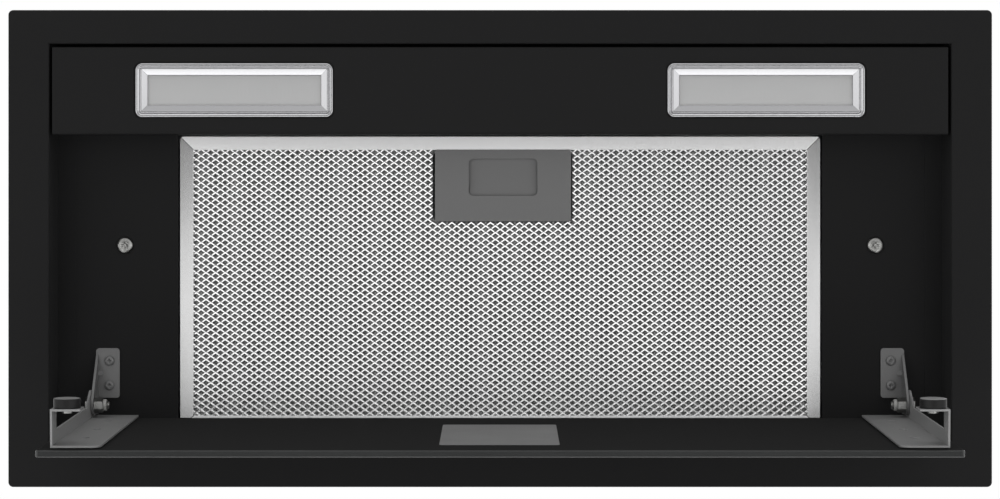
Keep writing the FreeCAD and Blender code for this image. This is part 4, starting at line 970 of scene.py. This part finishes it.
class HOOD_OT_panel(bpy.types.Operator):
    """Glass panel with its brackets, magnets and bare label"""

    bl_idname = "hood.panel"
    bl_label = "Glass panel"

    def execute(self, context):
        glass = dress("panel_glass", sizes().glass_ease)
        second_finish(glass, "glass_edge", lambda face: abs(face.normal.y) < 0.9)
        second_finish(glass, "panel_back", lambda face: face.normal.y < -0.9)
        for side in SIDES:
            dress("panel_bracket_" + side, sizes().plate_ease)
            magnet = dress("magnet_" + side, sizes().magnet_ease, 3)
            second_finish(magnet, "bracket_steel", lambda face: face.normal.y < -0.9)
        self.label()
        return {"FINISHED"}

    def label(self):
        """Bare label, lying on the glass as it hangs."""
        low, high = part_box("panel_glass")
        x, z, lean = sizes().label_x, sizes().label_z, sizes().panel_lean
        bm = bar((sizes().label_w, sizes().label_t, sizes().label_d), (0, 0, 0))
        upright = [e for e in bm.edges if abs(e.verts[0].co.y - e.verts[1].co.y) > TINY]
        bmesh.ops.bevel(bm, geom=upright, offset=sizes().label_corner, segments=4, profile=0.5,
                        affect="EDGES", material=-1)
        bmesh.ops.rotate(bm, cent=(0, 0, 0), matrix=Matrix.Rotation(lean, 3, "X"), verts=bm.verts)
        bmesh.ops.translate(bm, vec=(x, low.y + (high.z - z) * math.tan(lean), z), verts=bm.verts)
        add_piece("panel_label", to_mesh(bm, "panel_label"), "panel", "latch_plastic", "label", smooth=False)


class HOOD_OT_housing(bpy.types.Operator):
    """Galvanised housing, tower and outlet"""

    bl_idname = "hood.housing"
    bl_label = "Housing and outlet"

    def execute(self, context):
        for name in ("housing_shell", "tower_shell"):
            dress(name, sizes().sheet_ease)
        for name in ("outlet_spigot", "flap_front", "flap_rear"):
            dress(name, sizes().outlet_ease)
        return {"FINISHED"}


class HOOD_OT_fixings(bpy.types.Operator):
    """Blind rivets along the foot of the tower and the screws of the electrics lid"""

    bl_idname = "hood.fixings"
    bl_label = "Rivets and lid screws"

    def execute(self, context):
        self.rivets()
        self.lid_screws()
        return {"FINISHED"}

    def rivets(self):
        """Three rivets on each foot of the tower; a rivet has a small hole in its dome."""
        inset, sheet, radius, rise = 0.006, 0.0008, 0.0026, 0.0011
        profile = [(0, 0), (radius, 0), (radius * 0.8, rise * 0.6), (radius * 0.35, rise),
                   (radius * 0.3, rise * 0.6), (0, rise * 0.6)]
        low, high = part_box("tower_shell")
        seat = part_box("housing_shell")[1].z + sheet
        heads = []
        for x in (low.x + inset, high.x - inset):
            for share in (0.15, 0.5, 0.85):
                dome = to_mesh(turned(profile, 20), "rivet")
                heads.append(place_mesh(dome, (x, low.y + (high.y - low.y) * share, seat)))
        add_piece("tower_rivets", joined(heads, "tower_rivets"), "root", "zinc_steel")

    def lid_screws(self):
        """One screw near each corner of the lid."""
        inset, radius, rise = 0.008, 0.0026, 0.0012
        low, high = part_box("control_lid")
        heads = []
        for x in (low.x + inset, high.x - inset):
            for y in (low.y + inset, high.y - inset):
                heads.append(place_mesh(cross_head(radius, rise, "lid_head"), (x, y, high.z)))
        add_piece("lid_screws", joined(heads, "lid_screws"), "root", "zinc_steel")


class HOOD_OT_electrics(bpy.types.Operator):
    """Electrics box with its lid and gland"""

    bl_idname = "hood.electrics"
    bl_label = "Electrics"

    def execute(self, context):
        for name in ("control_box", "control_lid", "cable_gland"):
            dress(name, sizes().moulded_ease)
        return {"FINISHED"}


# name: (place, aim, size, brightness, where 1 is white)
LAMPS = {
    "lamp_below_rear": ((0.0, 1.3, -1.9), (0, 0, 0), (2.4, 0.8), 1.8),
    "lamp_front": ((0.0, -2.2, -0.7), (0, 0, 0), (2.4, 0.9), 1.2),
    "lamp_strip": ((0.0, 0.07, -2.2), (0, 0.07, 0), (2.6, 0.24), 1.25),
    "lamp_side_0": ((-1.6, 0.0, -1.6), (0, 0, 0), (0.9, 2.0), 0.9),
    "lamp_side_2": ((1.6, 0.0, -1.6), (0, 0, 0), (0.9, 2.0), 0.9),
    "lamp_fill": ((0.0, 0.0, -2.4), (0, 0, 0), (3.0, 2.2), 0.5),
    "lamp_above": ((0.8, -1.2, 1.9), (0, 0, 0.1), (1.6, 1.6), 2.5),
}


def lamp(name):
    """Soft rectangular lamp; the fill isn't mirrored."""
    at, aim, size, glow = LAMPS[name]
    data = bpy.data.lights.new(name, "AREA")
    data.shape = "RECTANGLE"
    data.size, data.size_y = size
    data.energy = glow * math.pi * size[0] * size[1]
    made = put_in_scene(name, data)
    made.location = at
    made.rotation_euler = (Vector(aim) - Vector(at)).to_track_quat("-Z", "Y").to_euler()
    made.visible_camera = False
    made.visible_glossy = name != "lamp_fill"


class HOOD_OT_stage(bpy.types.Operator):
    """Pale floor, soft lamps, world and the camera"""

    bl_idname = "hood.stage"
    bl_label = "Studio and camera"

    def execute(self, context):
        self.floor()
        self.world()
        for name in LAMPS:
            lamp(name)
        self.camera()
        return {"FINISHED"}

    def floor(self):
        """Matt floor, clear from below."""
        size, drop = 6.0, 0.001
        bm = bmesh.new()
        bmesh.ops.create_grid(bm, x_segments=8, y_segments=8, size=size)
        bmesh.ops.translate(bm, vec=(0, 0, CAD_BOX[0].z - drop), verts=bm.verts)
        mesh = written(bm, "studio_floor")
        material = bpy.data.materials.new("studio_floor")
        material.use_nodes = True
        tree = material.node_tree
        tree.nodes.remove(tree.nodes["Principled BSDF"])
        matt = node(tree, "ShaderNodeBsdfDiffuse", {"Color": (*colours().floor, 1.0)})
        clear = node(tree, "ShaderNodeBsdfTransparent")
        behind = node(tree, "ShaderNodeNewGeometry").outputs["Backfacing"]
        seen = node(tree, "ShaderNodeLightPath").outputs["Is Camera Ray"]
        shown = maths(tree, "MULTIPLY", maths(tree, "SUBTRACT", 1.0, behind), seen)
        mixed = node(tree, "ShaderNodeMixShader", {0: shown, 1: clear.outputs[0], 2: matt.outputs[0]})
        tree.links.new(mixed.outputs[0], tree.nodes["Material Output"].inputs["Surface"])
        mesh.materials.append(material)
        put_in_scene("studio_floor", mesh)

    def world(self):
        """White to the camera, soft light on the hood, and mirrored light that is dimmer from below."""
        light, dim, bright, turn_start, turn_end = 0.6, 0.24, 0.95, -0.95, -0.8
        world = bpy.data.worlds.new("studio")
        bpy.context.scene.world = world
        world.use_nodes = True
        tree = world.node_tree
        path = node(tree, "ShaderNodeLightPath").outputs
        seen = maths(tree, "MAXIMUM", path["Is Camera Ray"], path["Is Transmission Ray"])
        soft = tree.nodes["Background"]
        soft.inputs["Color"].default_value = WHITE
        soft.inputs["Strength"].default_value = light
        around = node(tree, "ShaderNodeTexCoord").outputs["Generated"]
        height = node(tree, "ShaderNodeSeparateXYZ", {0: around}).outputs[2]
        grade = spread(tree, height, dim, bright, turn_start, turn_end)
        gloss = node(tree, "ShaderNodeBackground", {"Color": WHITE, "Strength": grade})
        white = node(tree, "ShaderNodeBackground", {"Color": WHITE, "Strength": 1.0})
        lit = node(tree, "ShaderNodeMixShader", {
            0: path["Is Glossy Ray"], 1: soft.outputs[0], 2: gloss.outputs[0]})
        mixed = node(tree, "ShaderNodeMixShader", {0: seen, 1: lit.outputs[0], 2: white.outputs[0]})
        tree.links.new(mixed.outputs[0], tree.nodes["World Output"].inputs["Surface"])

    def camera(self):
        """Camera below the hood, looking straight up."""
        data = bpy.data.cameras.new("camera")
        data.sensor_width = 36.0
        data.sensor_fit = "HORIZONTAL"
        data.lens = 98.89
        data.clip_end = 50.0
        made = put_in_scene("camera", data)
        made.location = (-0.0001, 0.00058, -1.672)
        made.rotation_euler = (math.pi, 0, 0)
        bpy.context.scene.camera = made
        bpy.context.scene.view_settings.view_transform = "Standard"


class HOOD_PT_sidebar(bpy.types.Panel):
    """Lists the hood's operators and sizes"""

    bl_idname = "HOOD_PT_sidebar"
    bl_label = "Range hood insert"
    bl_space_type = "VIEW_3D"
    bl_region_type = "UI"
    bl_category = "Hood"

    def draw(self, context):
        for made in OPERATORS:
            self.layout.operator(made.bl_idname)
        for group in (context.scene.hood_sizes, context.scene.hood_colours):
            column = self.layout.column(align=True)
            for key in group.__annotations__:
                column.prop(group, key)


OPERATORS = (HOOD_OT_finishes, HOOD_OT_stage, HOOD_OT_trim, HOOD_OT_lamps, HOOD_OT_filter, HOOD_OT_latch,
             HOOD_OT_clamps, HOOD_OT_hinges, HOOD_OT_panel, HOOD_OT_housing, HOOD_OT_electrics,
             HOOD_OT_fixings)
CLASSES = (HoodSizes, HoodColours, *OPERATORS, HOOD_PT_sidebar)


def register():
    for made in CLASSES:
        bpy.utils.register_class(made)
    bpy.types.Scene.hood_sizes = bpy.props.PointerProperty(type=HoodSizes)
    bpy.types.Scene.hood_colours = bpy.props.PointerProperty(type=HoodColours)


def unregister():
    del bpy.types.Scene.hood_colours
    del bpy.types.Scene.hood_sizes
    for made in reversed(CLASSES):
        bpy.utils.unregister_class(made)


def main():
    register()
    for made in OPERATORS:
        group, name = made.bl_idname.split(".")
        getattr(getattr(bpy.ops, group), name)()


if __name__ == "__main__":
    main()
